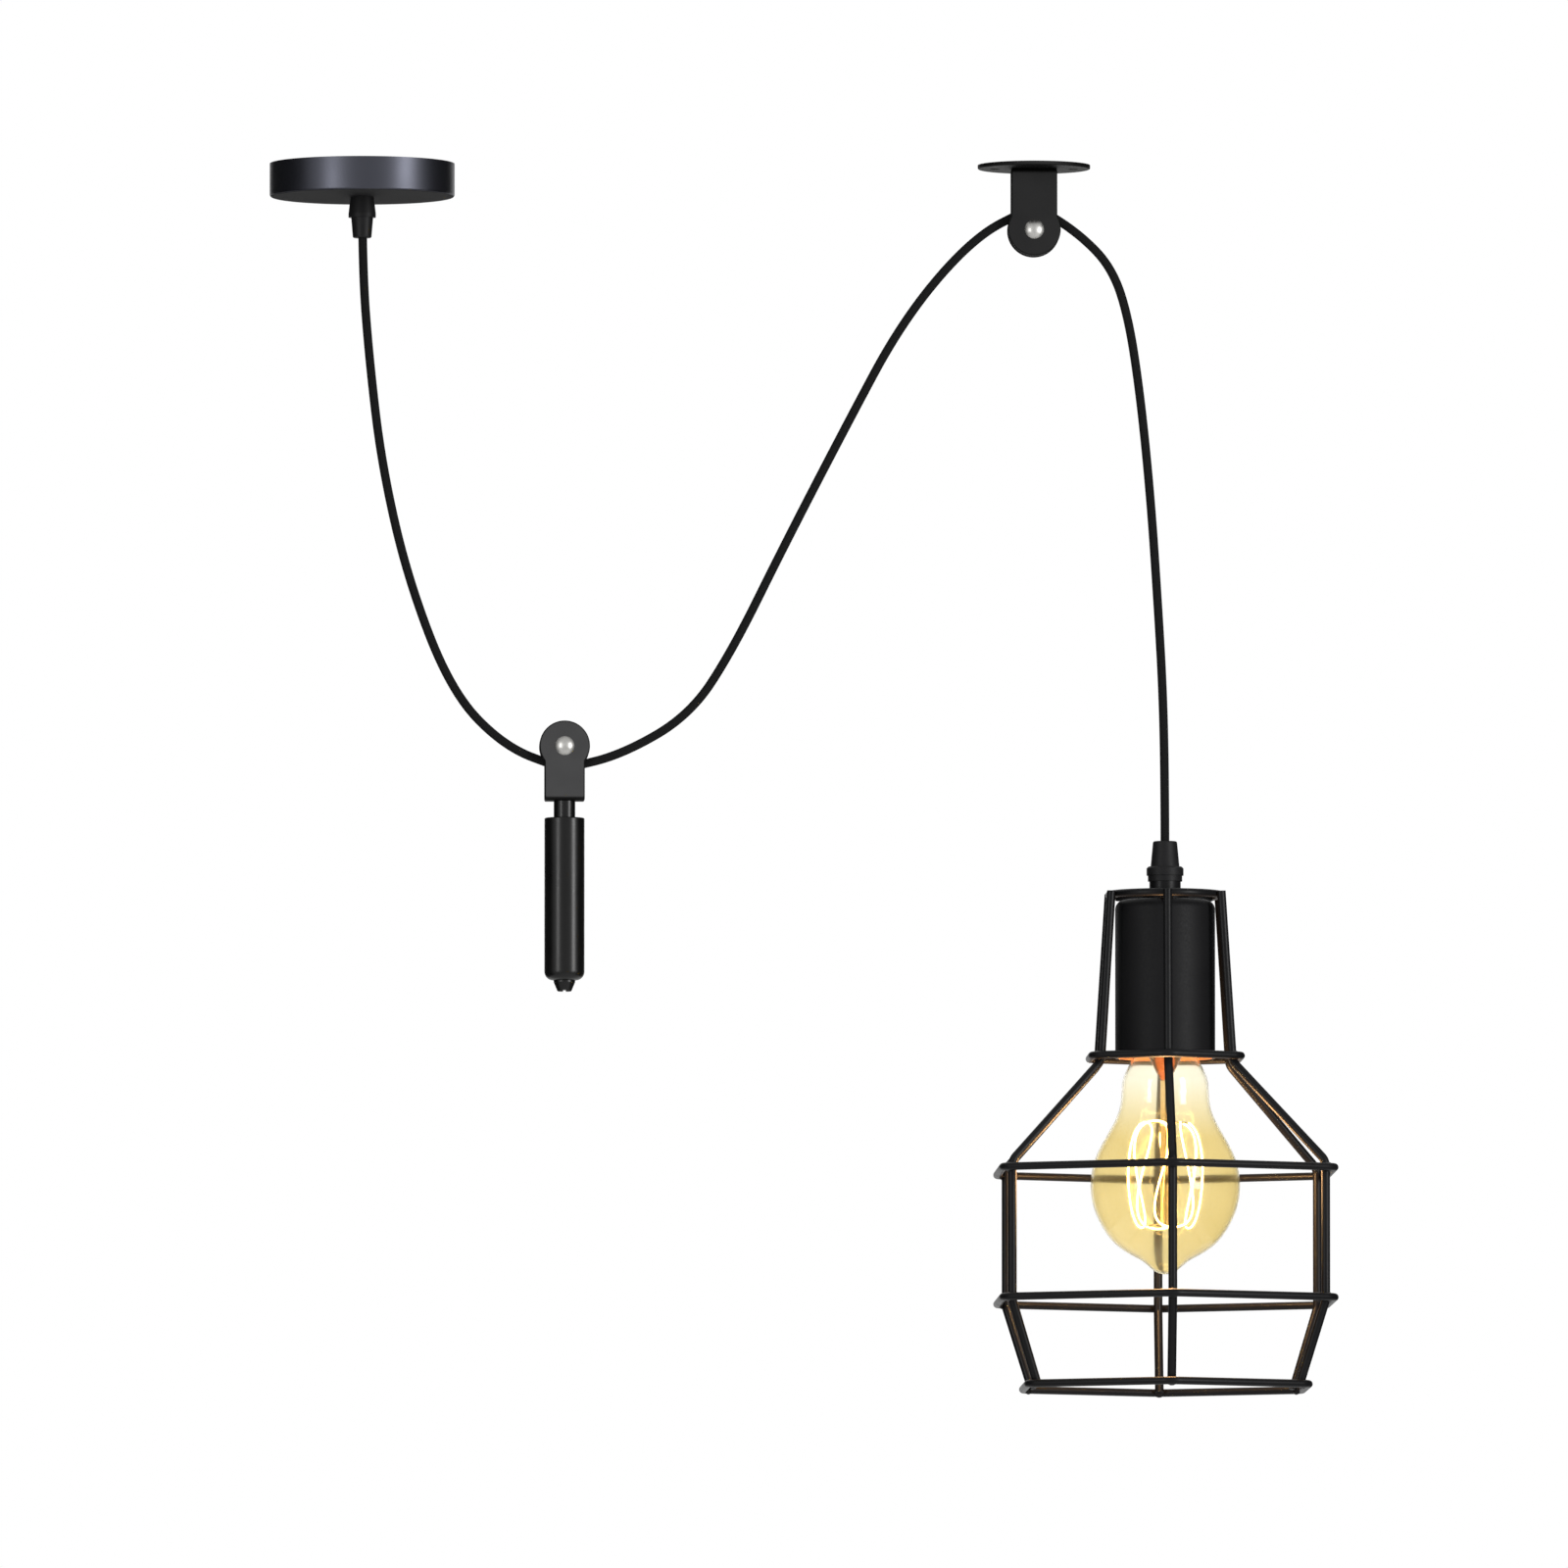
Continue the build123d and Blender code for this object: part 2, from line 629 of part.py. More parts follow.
# Tapered end nut with a screwdriver slot, which holds the weight on its rod
with BuildPart() as weight_end_nut:
    nut_bore = rod_stud_diameter / 2 + thread_gap
    nut_end = rod_end - end_nut_floor
    revolve(lathe(weight_x, [(0, nut_end), (0, rod_end), (nut_bore, rod_end), (nut_bore, weight_end),
                             (end_nut_diameter / 2, weight_end),
                             (end_nut_diameter / 2, weight_end - end_nut_band),
                             (end_nut_tip_diameter / 2, nut_end)]), axis=upright(weight_x))
    rims = weight_end_nut.edges().filter_by(GeomType.CIRCLE)
    fillet(rims.group_by(Axis.Z)[0], end_nut_edge)
    with Locations((weight_x, 0, nut_end)):
        Box(end_nut_slot, end_nut_diameter, end_nut_slot, mode=Mode.SUBTRACT)
write_piece(weight_end_nut, "weight_end_nut")

# Lamp cord grip: tapered cap on a collared body
lamp_bore = lamp_nipple_diameter / 2 + thread_gap
with BuildPart() as lamp_grip_body:
    collar_low = lamp_cap_end - lamp_grip_collar_height
    revolve(lathe(lamp_x, [(lamp_bore, lamp_cap_end),
                           (lamp_grip_collar_diameter / 2 - grip_edge, lamp_cap_end),
                           (lamp_grip_collar_diameter / 2, lamp_cap_end - grip_edge),
                           (lamp_grip_collar_diameter / 2, collar_low), (lamp_grip_diameter / 2, collar_low),
                           (lamp_grip_diameter / 2, lamp_grip_end), (lamp_bore, lamp_grip_end)]),
            axis=upright(lamp_x))
write_piece(lamp_grip_body, "lamp_grip_body")

with BuildPart() as lamp_grip_cap:
    lamp_spigot = lamp_bore - pass_gap
    lamp_spigot_end = lamp_nipple_top + spigot_gap
    revolve(lathe(lamp_x, [(cord_hole, lamp_top), (lamp_cap_narrow_diameter / 2, lamp_top),
                           (lamp_cap_wide_diameter / 2, lamp_cap_end), (lamp_spigot, lamp_cap_end),
                           (lamp_spigot, lamp_spigot_end), (cord_hole, lamp_spigot_end)]),
            axis=upright(lamp_x))
    fillet(lamp_grip_cap.edges().group_by(Axis.Z)[-1].sort_by(SortBy.RADIUS)[-1], grip_edge)
write_piece(lamp_grip_cap, "lamp_grip_cap")

with BuildPart() as lamp_nipple:
    revolve(ring_face(lamp_x, lamp_nipple_bore / 2, lamp_nipple_diameter / 2,
                      lamp_nipple_top, lamp_nipple_end), axis=upright(lamp_x))
write_piece(lamp_nipple, "lamp_nipple")

with BuildPart() as lamp_collar:
    revolve(ring_face(lamp_x, lamp_bore, collar_diameter / 2, lamp_grip_end, collar_end),
            axis=upright(lamp_x))
write_piece(lamp_collar, "lamp_collar")

# Spider clamped between the collar and the cup, with three arms out to the cage's top ring
arm_reach = top_ring_radius - ring_diameter / 2 + weld_sink
with BuildPart() as cage_spider:
    with BuildSketch(Plane.XY.offset(cup_top)):
        with Locations((lamp_x, 0)):
            Circle(spider_hub_diameter / 2)
            with PolarLocations(arm_reach / 2, 3, start_angle=-90):
                Rectangle(arm_reach, spider_arm_width)
            Circle(lamp_bore, mode=Mode.SUBTRACT)
    extrude(amount=spider_thickness)
write_piece(cage_spider, "cage_spider")

# Lampholder cup: a drawn cup with a rounded top and an open mouth
with BuildPart() as socket_cup:
    with BuildSketch(front_plane(lamp_x)):
        with BuildLine():
            Line((lamp_bore, cup_top), (cup_radius - cup_edge, cup_top))
            RadiusArc((cup_radius - cup_edge, cup_top), (cup_radius, cup_top - cup_edge), cup_edge)
            Polyline((cup_radius, cup_top - cup_edge), (cup_radius, cup_mouth),
                     (cup_radius - cup_wall, cup_mouth), (cup_radius - cup_wall, cup_top - cup_edge))
            RadiusArc((cup_radius - cup_wall, cup_top - cup_edge),
                      (cup_radius - cup_edge, cup_top - cup_wall), -(cup_edge - cup_wall))
            Polyline((cup_radius - cup_edge, cup_top - cup_wall), (lamp_bore, cup_top - cup_wall),
                     (lamp_bore, cup_top))
        make_face()
    revolve(axis=upright(lamp_x))
write_piece(socket_cup, "socket_cup")

# Lampholder: a cap on the nipple, a body with a floor, and the brass pieces on that floor
with BuildPart() as holder_cap:
    cap_inner = holder_radius - holder_wall
    revolve(lathe(lamp_x, [(lamp_bore, holder_top), (holder_radius, holder_top),
                           (holder_radius, holder_split), (cap_inner, holder_split),
                           (cap_inner, holder_top - holder_top_thickness),
                           (lamp_bore, holder_top - holder_top_thickness)]), axis=upright(lamp_x))
write_piece(holder_cap, "holder_cap")

with BuildPart() as holder_body:
    body_bore = shell_radius + thread_gap
    revolve(lathe(lamp_x, [(0, holder_split), (holder_radius, holder_split), (holder_radius, holder_end),
                           (body_bore, holder_end), (body_bore, holder_floor_z), (0, holder_floor_z)]),
            axis=upright(lamp_x))
write_piece(holder_body, "holder_body")

with BuildPart() as holder_shell:
    flange_inner = shell_radius - shell_flange
    revolve(lathe(lamp_x, [(flange_inner, holder_floor_z), (shell_radius, holder_floor_z),
                           (shell_radius, holder_end), (shell_bore / 2, holder_end),
                           (shell_bore / 2, holder_floor_z - shell_wall),
                           (flange_inner, holder_floor_z - shell_wall)]), axis=upright(lamp_x))
write_piece(holder_shell, "holder_shell")

# Centre contact: a leaf fixed to the floor and bent down on to the bulb's contact
with BuildPart() as holder_contact:
    half_leaf = contact_thickness / 2
    with BuildSketch(front_plane(lamp_x, holder_floor_z)):
        with BuildLine():
            Polyline((contact_reach, -half_leaf), (-contact_reach, -half_leaf),
                     (-half_leaf, half_leaf - contact_drop), (contact_reach / 2, half_leaf - contact_drop))
        trace(line_width=contact_thickness)
    extrude(amount=contact_width / 2, both=True)
write_piece(holder_contact, "holder_contact")

with BuildPart() as holder_screws:
    with BuildSketch(Plane.XY.offset(holder_split)):
        with Locations((lamp_x, 0)):
            with GridLocations(terminal_spacing, 1, 2, 1):
                Circle(terminal_screw_diameter / 2)
    extrude(amount=terminal_screw_height)
write_piece(holder_screws, "holder_screws")

# Two wires from the cord's cut end down through the nipple to the terminal screws
lamp_wire_level = holder_split + terminal_screw_height + wire_radius
lamp_wire_solids = [bent_wire((lamp_x + side * wire_offset, 0, lamp_cord_end), lamp_wire_level,
                              (lamp_x + side * terminal_spacing / 2, 0)) for side in (-1, 1)]
with BuildPart() as lamp_wires:
    add(lamp_wire_solids)
write_piece(lamp_wires, "lamp_wires")

# Cage: ribs outside the round top ring and inside the other rings, welded where they cross
rib_radius = rib_diameter / 2
ring_radius = ring_diameter / 2
rib_to_ring = rib_radius + ring_radius - weld_sink
top_ring_z = collar_end
rib_top_radius = top_ring_radius + rib_to_ring
rib_lean = (rib_neck_radius - rib_top_radius) / (top_ring_z - rib_neck_z)
rib_corners = [
    (rib_top_radius - rib_lean * rib_stand, top_ring_z + rib_stand),
    (rib_neck_radius, rib_neck_z),
    (rib_shoulder_radius, rib_shoulder_z),
    (rib_shoulder_radius, rib_waist_z),
    (rib_bottom_radius, bottom_ring_z),
]
rib_places = ["front", "front_right", "back_right", "back", "back_left", "front_left"]
rib_turns = [2 * pi * i / len(rib_places) - pi / 2 for i in range(len(rib_places))]
for place, turn in zip(rib_places, rib_turns):
    outward = Vector(cos(turn), sin(turn), 0)
    rib_plane = Plane(origin=(lamp_x, 0, 0), x_dir=outward, z_dir=outward.cross(Vector(0, 0, 1)))
    with BuildPart() as rib:
        with BuildLine(rib_plane) as rib_route:
            FilletPolyline(*rib_corners, radius=rib_bend)
        with BuildSketch(Plane(origin=rib_route.line @ 0, z_dir=rib_route.line % 0)):
            Circle(rib_radius)
        sweep(path=rib_route.line)
    write_piece(rib, f"cage_rib_{place}")

with BuildPart() as cage_top_ring:
    with Locations((lamp_x, 0, top_ring_z)):
        Torus(top_ring_radius, ring_radius)
write_piece(cage_top_ring, "cage_top_ring")


def bend_length(before, corner, after):
    """How far a rib's bend reaches along the straight runs beside its corner."""
    first = atan2(corner[1] - before[1], corner[0] - before[0])
    second = atan2(after[1] - corner[1], after[0] - corner[0])
    return rib_bend * tan(abs(second - first) / 2)


def rib_radius_at(level):
    """The radius of the rib's centre line at a level, on its straight runs."""
    for (r_high, z_high), (r_low, z_low) in zip(rib_corners, rib_corners[1:]):
        if z_high >= level >= z_low:
            return r_high + (r_low - r_high) * (z_high - level) / (z_high - z_low)
    return rib_corners[-1][0]


# The neck, shoulder and waist rings lie where the ribs are straight again beside a bend
ring_levels = {
    "neck": rib_neck_z + bend_length(*rib_corners[0:3]) + face_gap,
    "shoulder": rib_shoulder_z - bend_length(*rib_corners[1:4]) - face_gap,
    "waist": rib_waist_z + bend_length(*rib_corners[2:5]) + face_gap,
    "bottom": bottom_ring_z,
}
corner_inset = ring_bend * (1 / cos(pi / len(rib_places)) - 1)
for place, level in ring_levels.items():
    vertex_radius = rib_radius_at(level) + rib_to_ring + corner_inset
    vertices = [(vertex_radius * cos(turn), vertex_radius * sin(turn)) for turn in rib_turns]
    with BuildPart() as ring:
        with BuildLine(Plane(origin=(lamp_x, 0, level))) as ring_route:
            FilletPolyline(*vertices, radius=ring_bend, close=True)
        with BuildSketch(Plane(origin=ring_route.line @ 0, z_dir=ring_route.line % 0)):
            Circle(ring_radius)
        sweep(path=ring_route.line)
    write_piece(ring, f"cage_{place}_ring")
    print(f"cage {place} ring at {level:.1f}, corner radius {vertex_radius:.1f}")


def bulb_curve(shrink):
    """The bulb's outline from neck to tip, drawn in by shrink, and its heading where the tip begins."""
    neck = bulb_neck_diameter / 2
    belly = bulb_diameter / 2
    sealed = bulb_cap_diameter / 2 - bulb_cap_wall
    points = [(sealed - shrink, bulb_cap_end + bulb_cap_length / 4), (sealed - shrink, bulb_cap_end)]
    for swell, drop in bulb_upper:
        points.append((neck + swell * (belly - neck) - shrink, bulb_cap_end - drop * bulb_belly))
    points.append((belly - shrink, bulb_belly_z))
    tip_width = bulb_tip_start[0] * belly
    tip_height = (1 - bulb_tip_start[1]) * bulb_reach
    lower = [(width * belly, bulb_belly_z - drop * bulb_reach) for width, drop in bulb_lower]
    above = [(belly, bulb_belly_z), *lower]
    below = [*lower[1:], (tip_width, bulb_tip + tip_height)]
    for before, place, after in zip(above, lower, below):
        heading = atan2(after[1] - before[1], after[0] - before[0])
        points.append((place[0] + shrink * sin(heading), place[1] - shrink * cos(heading)))
    slope = 2 * atan2(tip_height, tip_width)
    points.append((tip_width - shrink * sin(slope), bulb_tip + tip_height + shrink * cos(slope)))
    points.append((0, bulb_tip + shrink))
    return points, (-cos(slope), -sin(slope))


# Bulb glass: a thin blown shell with its neck inside the cap
with BuildPart() as bulb_glass:
    with BuildSketch(front_plane(lamp_x)):
        outer_curve, tip_heading = bulb_curve(0)
        inner_curve, tip_heading = bulb_curve(bulb_wall)
        with BuildLine():
            Line(inner_curve[0], outer_curve[0])
            Line(outer_curve[-1], inner_curve[-1])
            for curve in (outer_curve, inner_curve):
                Line(curve[0], curve[1])
                Spline(*curve[1:-1], tangents=((0, -1), tip_heading))
                TangentArc(curve[-2], curve[-1], tangent=tip_heading)
        make_face()
    revolve(axis=upright(lamp_x))
write_piece(bulb_glass, "bulb_glass")

with BuildPart() as bulb_cap:
    cap_outer = bulb_cap_diameter / 2
    top_outer = bulb_insulator_diameter / 2
    revolve(lathe(lamp_x, [(cap_outer, bulb_cap_top - bulb_insulator_height), (cap_outer, bulb_cap_end),
                           (cap_outer - bulb_cap_wall, bulb_cap_end),
                           (cap_outer - bulb_cap_wall, bulb_cap_top - bulb_insulator_height),
                           (top_outer - bulb_cap_wall, bulb_cap_top - bulb_cap_wall),
                           (top_outer - bulb_cap_wall, bulb_cap_top), (top_outer, bulb_cap_top)]),
            axis=upright(lamp_x))
write_piece(bulb_cap, "bulb_cap")

with BuildPart() as bulb_insulator:
    insulator_top = bulb_top - bulb_contact_height
    revolve(lathe(lamp_x, [(0, insulator_top), (bulb_contact_diameter / 2, insulator_top),
                           (bulb_insulator_diameter / 2, bulb_cap_top), (0, bulb_cap_top)]),
            axis=upright(lamp_x))
write_piece(bulb_insulator, "bulb_insulator")

with BuildPart() as bulb_contact:
    with Locations((lamp_x, 0, bulb_top)):
        Cylinder(bulb_contact_diameter / 2, bulb_contact_height,
                 align=(Align.CENTER, Align.CENTER, Align.MAX))
write_piece(bulb_contact, "bulb_contact")

# Glass stem: a flare sealed in the neck and a rod down the middle of the filament
flare_top = bulb_cap_end + bulb_cap_length / 4
filament_base = bulb_cap_end
rod_low = filament_base - filament_low
with BuildPart() as bulb_stem:
    rod_radius = stem_rod_diameter / 2
    flare_radius = bulb_cap_diameter / 2 - bulb_cap_wall - bulb_wall - thread_gap
    flare_low = bulb_cap_end - bulb_belly / 4
    revolve(lathe(lamp_x, [(0, flare_top), (flare_radius, flare_top),
                           (flare_radius, flare_top - bulb_cap_wall), (rod_radius, flare_low),
                           (rod_radius, rod_low), (0, rod_low)]), axis=upright(lamp_x))
write_piece(bulb_stem, "bulb_stem")


def round_rod(start, end, radius):
    """A straight round wire between two points, with round ends."""
    span = Vector(*end) - Vector(*start)
    with BuildPart() as rod:
        with BuildSketch(Plane(origin=start, z_dir=span)):
            Circle(radius)
        extrude(amount=span.length)
        with Locations(start, end):
            Sphere(radius)
    return rod.part


def around(radius, turn, depth):
    """A point at a radius and an angle round the lamp's axis, at a depth below the bulb cap."""
    return (lamp_x + radius * cos(turn), radius * sin(turn), filament_base - depth)


# Filament: one wire that runs down and up round the stem, bulging like a lantern
first_strand = radians(filament_turn) + pi / filament_strands
strand_turns = [first_strand + 2 * pi * i / filament_strands for i in range(filament_strands)]
filament_route = []
for i, turn in enumerate(strand_turns):
    strand = [around(filament_top_radius, turn, filament_top),
              around(filament_mid_radius, turn, filament_mid),
              around(filament_low_radius, turn, filament_low)]
    if i % 2 == 1:
        strand.reverse()
    filament_route.extend(strand)
with BuildPart() as filament:
    with BuildLine() as filament_line:
        Spline(*filament_route)
    with BuildSketch(Plane(origin=filament_line.line @ 0, z_dir=filament_line.line % 0)):
        Circle(filament_wire / 2)
    sweep(path=filament_line.line)
write_piece(filament, "filament")

# Supports: thin wires from the stem out to the top and the foot of each strand
with BuildPart() as filament_supports:
    for turn in strand_turns:
        for radius, depth in ((filament_top_radius, filament_top), (filament_low_radius, filament_low)):
            inner = around(stem_rod_diameter / 2, turn, depth - filament_wire)
            outer = around(radius - filament_wire / 2 - support_wire / 2, turn, depth)
            add(round_rod(inner, outer, support_wire / 2))
write_piece(filament_supports, "filament_supports")


def route_radii(points):
    """The largest bend that each corner's shorter run has room for."""
    radii = []
    for before, corner, after in zip(points, points[1:], points[2:]):
        first = Vector(corner[0] - before[0], corner[1] - before[1])
        second = Vector(after[0] - corner[0], after[1] - corner[1])
        shorter = min(first.length, second.length)
        radii.append(bend_share * shorter / tan(radians(first.get_angle(second)) / 2))
    return radii


def on_wheel(x, z, angle, side):
    """The point where the cord meets a wheel, from the cord's slope there; side is 1 above and -1 below."""
    return (x - side * cord_on_wheel * sin(radians(angle)), z + side * cord_on_wheel * cos(radians(angle)))


def along(point, angle, distance):
    """A point on the straight cord that leaves a wheel with this slope."""
    return (point[0] + distance * cos(radians(angle)), point[1] + distance * sin(radians(angle)))


def between(start, end, shares):
    """The corners of a free run, from their shares of the way across and down between its ends."""
    across = end[0] - start[0]
    down = end[1] - start[1]
    return [(start[0] + u * across, start[1] + v * down) for u, v in shares]


def heading(start, end):
    """The unit vector from one point to the next."""
    slope = degrees(atan2(end[1] - start[1], end[0] - start[0]))
    return along((0, 0), slope, 1)


def cord_solid(label, points, arc_in=0.0, arc_out=0.0):
    """A cord run: an arc off one wheel, bends through the points, an arc on to the next wheel, in degrees."""
    radii = route_radii(points)
    with BuildPart() as run:
        with BuildLine(front_plane(0)) as route:
            FilletPolyline(*points, radius=radii)
            if arc_in:
                JernArc(points[0], heading(points[1], points[0]), cord_on_wheel, arc_in)
            if arc_out:
                JernArc(points[-1], heading(points[-2], points[-1]), cord_on_wheel, arc_out)
        first = route.wire()
        with BuildSketch(Plane(origin=first @ 0, z_dir=first % 0)):
            Circle(cord_radius)
        sweep(path=first)
    expected = pi * cord_radius ** 2 * first.length
    print(f"{label}: length {first.length:.1f}, radii {[round(r, 1) for r in radii]}, "
          f"volume over expected {run.part.volume / expected:.4f}")
    write_piece(run, label)


weight_in = on_wheel(weight_x, weight_axle_z, weight_in_slope, -1)
weight_out = on_wheel(weight_x, weight_axle_z, weight_out_slope, -1)
ceiling_in = on_wheel(ceiling_wheel_x, ceiling_axle_z, ceiling_in_slope, 1)
ceiling_out = on_wheel(ceiling_wheel_x, ceiling_axle_z, ceiling_out_slope, 1)

canopy_end = (0, canopy_nipple_top)
lamp_end = (lamp_x, lamp_cord_end)
cord_solid("cord_canopy_run",
           [canopy_end, *between(canopy_end, weight_in, canopy_run),
            along(weight_in, weight_in_slope, -weight_in_lead), weight_in],
           arc_out=-weight_in_slope)
cord_solid("cord_middle_run",
           [weight_out, along(weight_out, weight_out_slope, weight_out_lead),
            *between(weight_out, ceiling_in, middle_run),
            along(ceiling_in, ceiling_in_slope, -ceiling_in_lead), ceiling_in],
           arc_in=-weight_out_slope, arc_out=-ceiling_in_slope)
cord_solid("cord_lamp_run",
           [ceiling_out, along(ceiling_out, ceiling_out_slope, ceiling_out_lead),
            *between(ceiling_out, lamp_end, lamp_run), lamp_end],
           arc_in=-ceiling_out_slope)
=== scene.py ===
"""Scene of an adjustable ceiling lamp.

A canopy, a counterweight, a ceiling pulley and a caged lamp share one textile cord.
"""

import json
import math

import bmesh
import bpy
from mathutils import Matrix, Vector

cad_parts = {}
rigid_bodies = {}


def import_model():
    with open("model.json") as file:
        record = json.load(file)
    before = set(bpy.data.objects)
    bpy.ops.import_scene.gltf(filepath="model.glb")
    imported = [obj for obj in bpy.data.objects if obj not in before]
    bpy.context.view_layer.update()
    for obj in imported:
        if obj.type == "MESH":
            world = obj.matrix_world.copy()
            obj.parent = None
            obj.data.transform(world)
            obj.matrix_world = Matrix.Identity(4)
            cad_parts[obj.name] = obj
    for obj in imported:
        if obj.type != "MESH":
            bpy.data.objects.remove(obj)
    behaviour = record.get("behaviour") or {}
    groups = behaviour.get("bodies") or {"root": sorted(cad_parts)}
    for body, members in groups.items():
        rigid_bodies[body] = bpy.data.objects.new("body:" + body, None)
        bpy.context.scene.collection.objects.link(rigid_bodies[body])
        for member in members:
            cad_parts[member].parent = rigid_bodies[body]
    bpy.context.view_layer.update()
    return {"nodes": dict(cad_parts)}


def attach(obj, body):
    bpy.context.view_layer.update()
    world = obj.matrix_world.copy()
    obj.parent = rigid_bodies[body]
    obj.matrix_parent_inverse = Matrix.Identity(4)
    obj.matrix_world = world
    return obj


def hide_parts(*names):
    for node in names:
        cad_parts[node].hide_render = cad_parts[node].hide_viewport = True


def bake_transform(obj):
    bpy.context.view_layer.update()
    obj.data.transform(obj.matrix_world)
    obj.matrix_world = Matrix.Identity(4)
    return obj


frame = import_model()

# Sizes and places in metres, in the frame of the solids.
lamp_axis_x = 0.328
lamp_axis = (lamp_axis_x, 0.0, 0.0)
frame_origin = (0.0, 0.0, 0.0)
cord_diameter = 0.0036
rib_wire = 0.0036
ring_wire = 0.0032
rib_bend = 0.006
ring_bend = 0.007
weld_bead = (0.0026, 0.0046, 0.0040)
filament_height = -0.410

# The bulb's glass is amber up to the first height and pale from the second one upwards; the pale neck is
# painted light of the glowing bulb.
amber_end = -0.398
painted_glow_start = -0.374

# Sides of the cord's section and of the cage, and where the cage's first rib stands.
cord_sides = 24
cage_sides = 6
first_rib_angle = math.radians(-90)

# Radius and height of a rib's corners, and height and corner radius of each six-sided ring.
rib_corners = [
    (0.0259, -0.2978),
    (0.0310, -0.3675),
    (0.0736, -0.4090),
    (0.0736, -0.4656),
    (0.0617, -0.4996),
]
ring_corners = [
    (-0.3651, 0.0351),
    (-0.4116, 0.0779),
    (-0.4645, 0.0779),
    (-0.4996, 0.0660),
]

# Control points of the cord's three runs, X and Z, from the canopy to the lamp.
canopy_run_points = [
    (0.0, -0.0052),
    (0.0, -0.0419),
    (0.00303, -0.0810),
    (0.00821, -0.1240),
    (0.01881, -0.1701),
    (0.0365, -0.2160),
    (0.05817, -0.2385),
    (0.08119, -0.2472),
    (0.0828, -0.2472),
]
middle_run_points = [
    (0.0828, -0.2472),
    (0.08387, -0.2472),
    (0.10627, -0.2417),
    (0.13408, -0.2255),
    (0.15152, -0.1986),
    (0.17194, -0.15707),
    (0.19699, -0.10848),
    (0.22093, -0.06353),
    (0.24927, -0.03005),
    (0.27241, -0.0178),
    (0.2746, -0.0178),
]
lamp_run_points = [
    (0.2746, -0.0178),
    (0.27721, -0.0178),
    (0.29365, -0.02848),
    (0.30651, -0.04196),
    (0.31322, -0.06196),
    (0.31818, -0.09511),
    (0.32231, -0.13703),
    (0.32518, -0.18005),
    (0.32722, -0.21594),
    (0.328, -0.25512),
    (0.328, -0.2932),
]

# Sockets of a Mix node: its factor, its two colours and their mix, its two values and their mix.
mix_factor = 0
mix_colours = (6, 7)
mixed_colour = 2
mix_values = (2, 3)
mixed_value = 0

# Most of a noise lies between the first two values, and most of the sum of two noises between the others.
noise_low = 0.3
noise_high = 0.7
noise_sum_low = 0.7
noise_sum_high = 1.3

# Keeps the level part of a vector.
level_only = (1.0, 1.0, 0.0)


# Nodes.


def add_node(tree, kind, inputs=None, **settings):
    """Adds a node with its settings, and sets the inputs that stay unlinked."""
    node = tree.nodes.new(kind)
    for name, value in settings.items():
        setattr(node, name, value)
    for name, value in (inputs or {}).items():
        node.inputs[name].default_value = value
    return node


def feed(tree, socket, value):
    """Links an input to another node's output, or sets it where the value is plain numbers."""
    if isinstance(value, bpy.types.NodeSocket):
        tree.links.new(value, socket)
    else:
        socket.default_value = value


def add_math(tree, operation, first, second=0.0):
    """Works out a value from one or two values, each of which is a socket or a number."""
    node = add_node(tree, "ShaderNodeMath", operation=operation)
    for socket, value in zip(node.inputs, (first, second)):
        feed(tree, socket, value)
    return node.outputs["Value"]


def add_vector_math(tree, operation, *vectors, result="Vector"):
    """Works out a vector or a value from vectors, each of which is a socket or three numbers."""
    node = add_node(tree, "ShaderNodeVectorMath", operation=operation)
    for socket, vector in zip(node.inputs, vectors):
        feed(tree, socket, vector)
    return node.outputs[result]


def add_range(tree, value, low, high, to_low, to_high):
    """Stretches the part of a value from low to high over a new range."""
    node = add_node(
        tree,
        "ShaderNodeMapRange",
        {"From Min": low, "From Max": high, "To Min": to_low, "To Max": to_high},
    )
    tree.links.new(value, node.inputs["Value"])
    return node.outputs["Result"]


def spread_noise(tree, noise, to_low, to_high):
    """Stretches the part of a noise where most of it lies over a new range."""
    return add_range(tree, noise, noise_low, noise_high, to_low, to_high)


def add_colour_mix(tree, factor, first, second):
    """Mixes two colours by a mask. A colour is three numbers or a socket."""
    node = add_node(tree, "ShaderNodeMix", data_type="RGBA")
    tree.links.new(factor, node.inputs[mix_factor])
    for place, colour in zip(mix_colours, (first, second)):
        if isinstance(colour, tuple):
            colour = (*colour, 1.0)
        feed(tree, node.inputs[place], colour)
    return node.outputs[mixed_colour]


def make_surface_grain():
    """Shared group: fine grain of a finish, and the wide cloudy patches in it."""
    group = bpy.data.node_groups.new("surface_grain", "ShaderNodeTree")
    sockets = group.interface
    sockets.new_socket("Grain per metre", in_out="INPUT", socket_type="NodeSocketFloat")
    sockets.new_socket("Patches per metre", in_out="INPUT", socket_type="NodeSocketFloat")
    sockets.new_socket("Grain", in_out="OUTPUT", socket_type="NodeSocketFloat")
    sockets.new_socket("Patches", in_out="OUTPUT", socket_type="NodeSocketFloat")
    given = group.nodes.new("NodeGroupInput")
    result = group.nodes.new("NodeGroupOutput")
    place = group.nodes.new("ShaderNodeTexCoord")
    grain = add_node(group, "ShaderNodeTexNoise", {"Detail": 3.0, "Roughness": 0.6})
    patches = add_node(group, "ShaderNodeTexNoise", {"Detail": 2.0, "Roughness": 0.5})
    for label, noise in (("Grain", grain), ("Patches", patches)):
        group.links.new(place.outputs["Object"], noise.inputs["Vector"])
        group.links.new(given.outputs[label + " per metre"], noise.inputs["Scale"])
        group.links.new(noise.outputs["Fac"], result.inputs[label])
    return group


surface_grain = make_surface_grain()


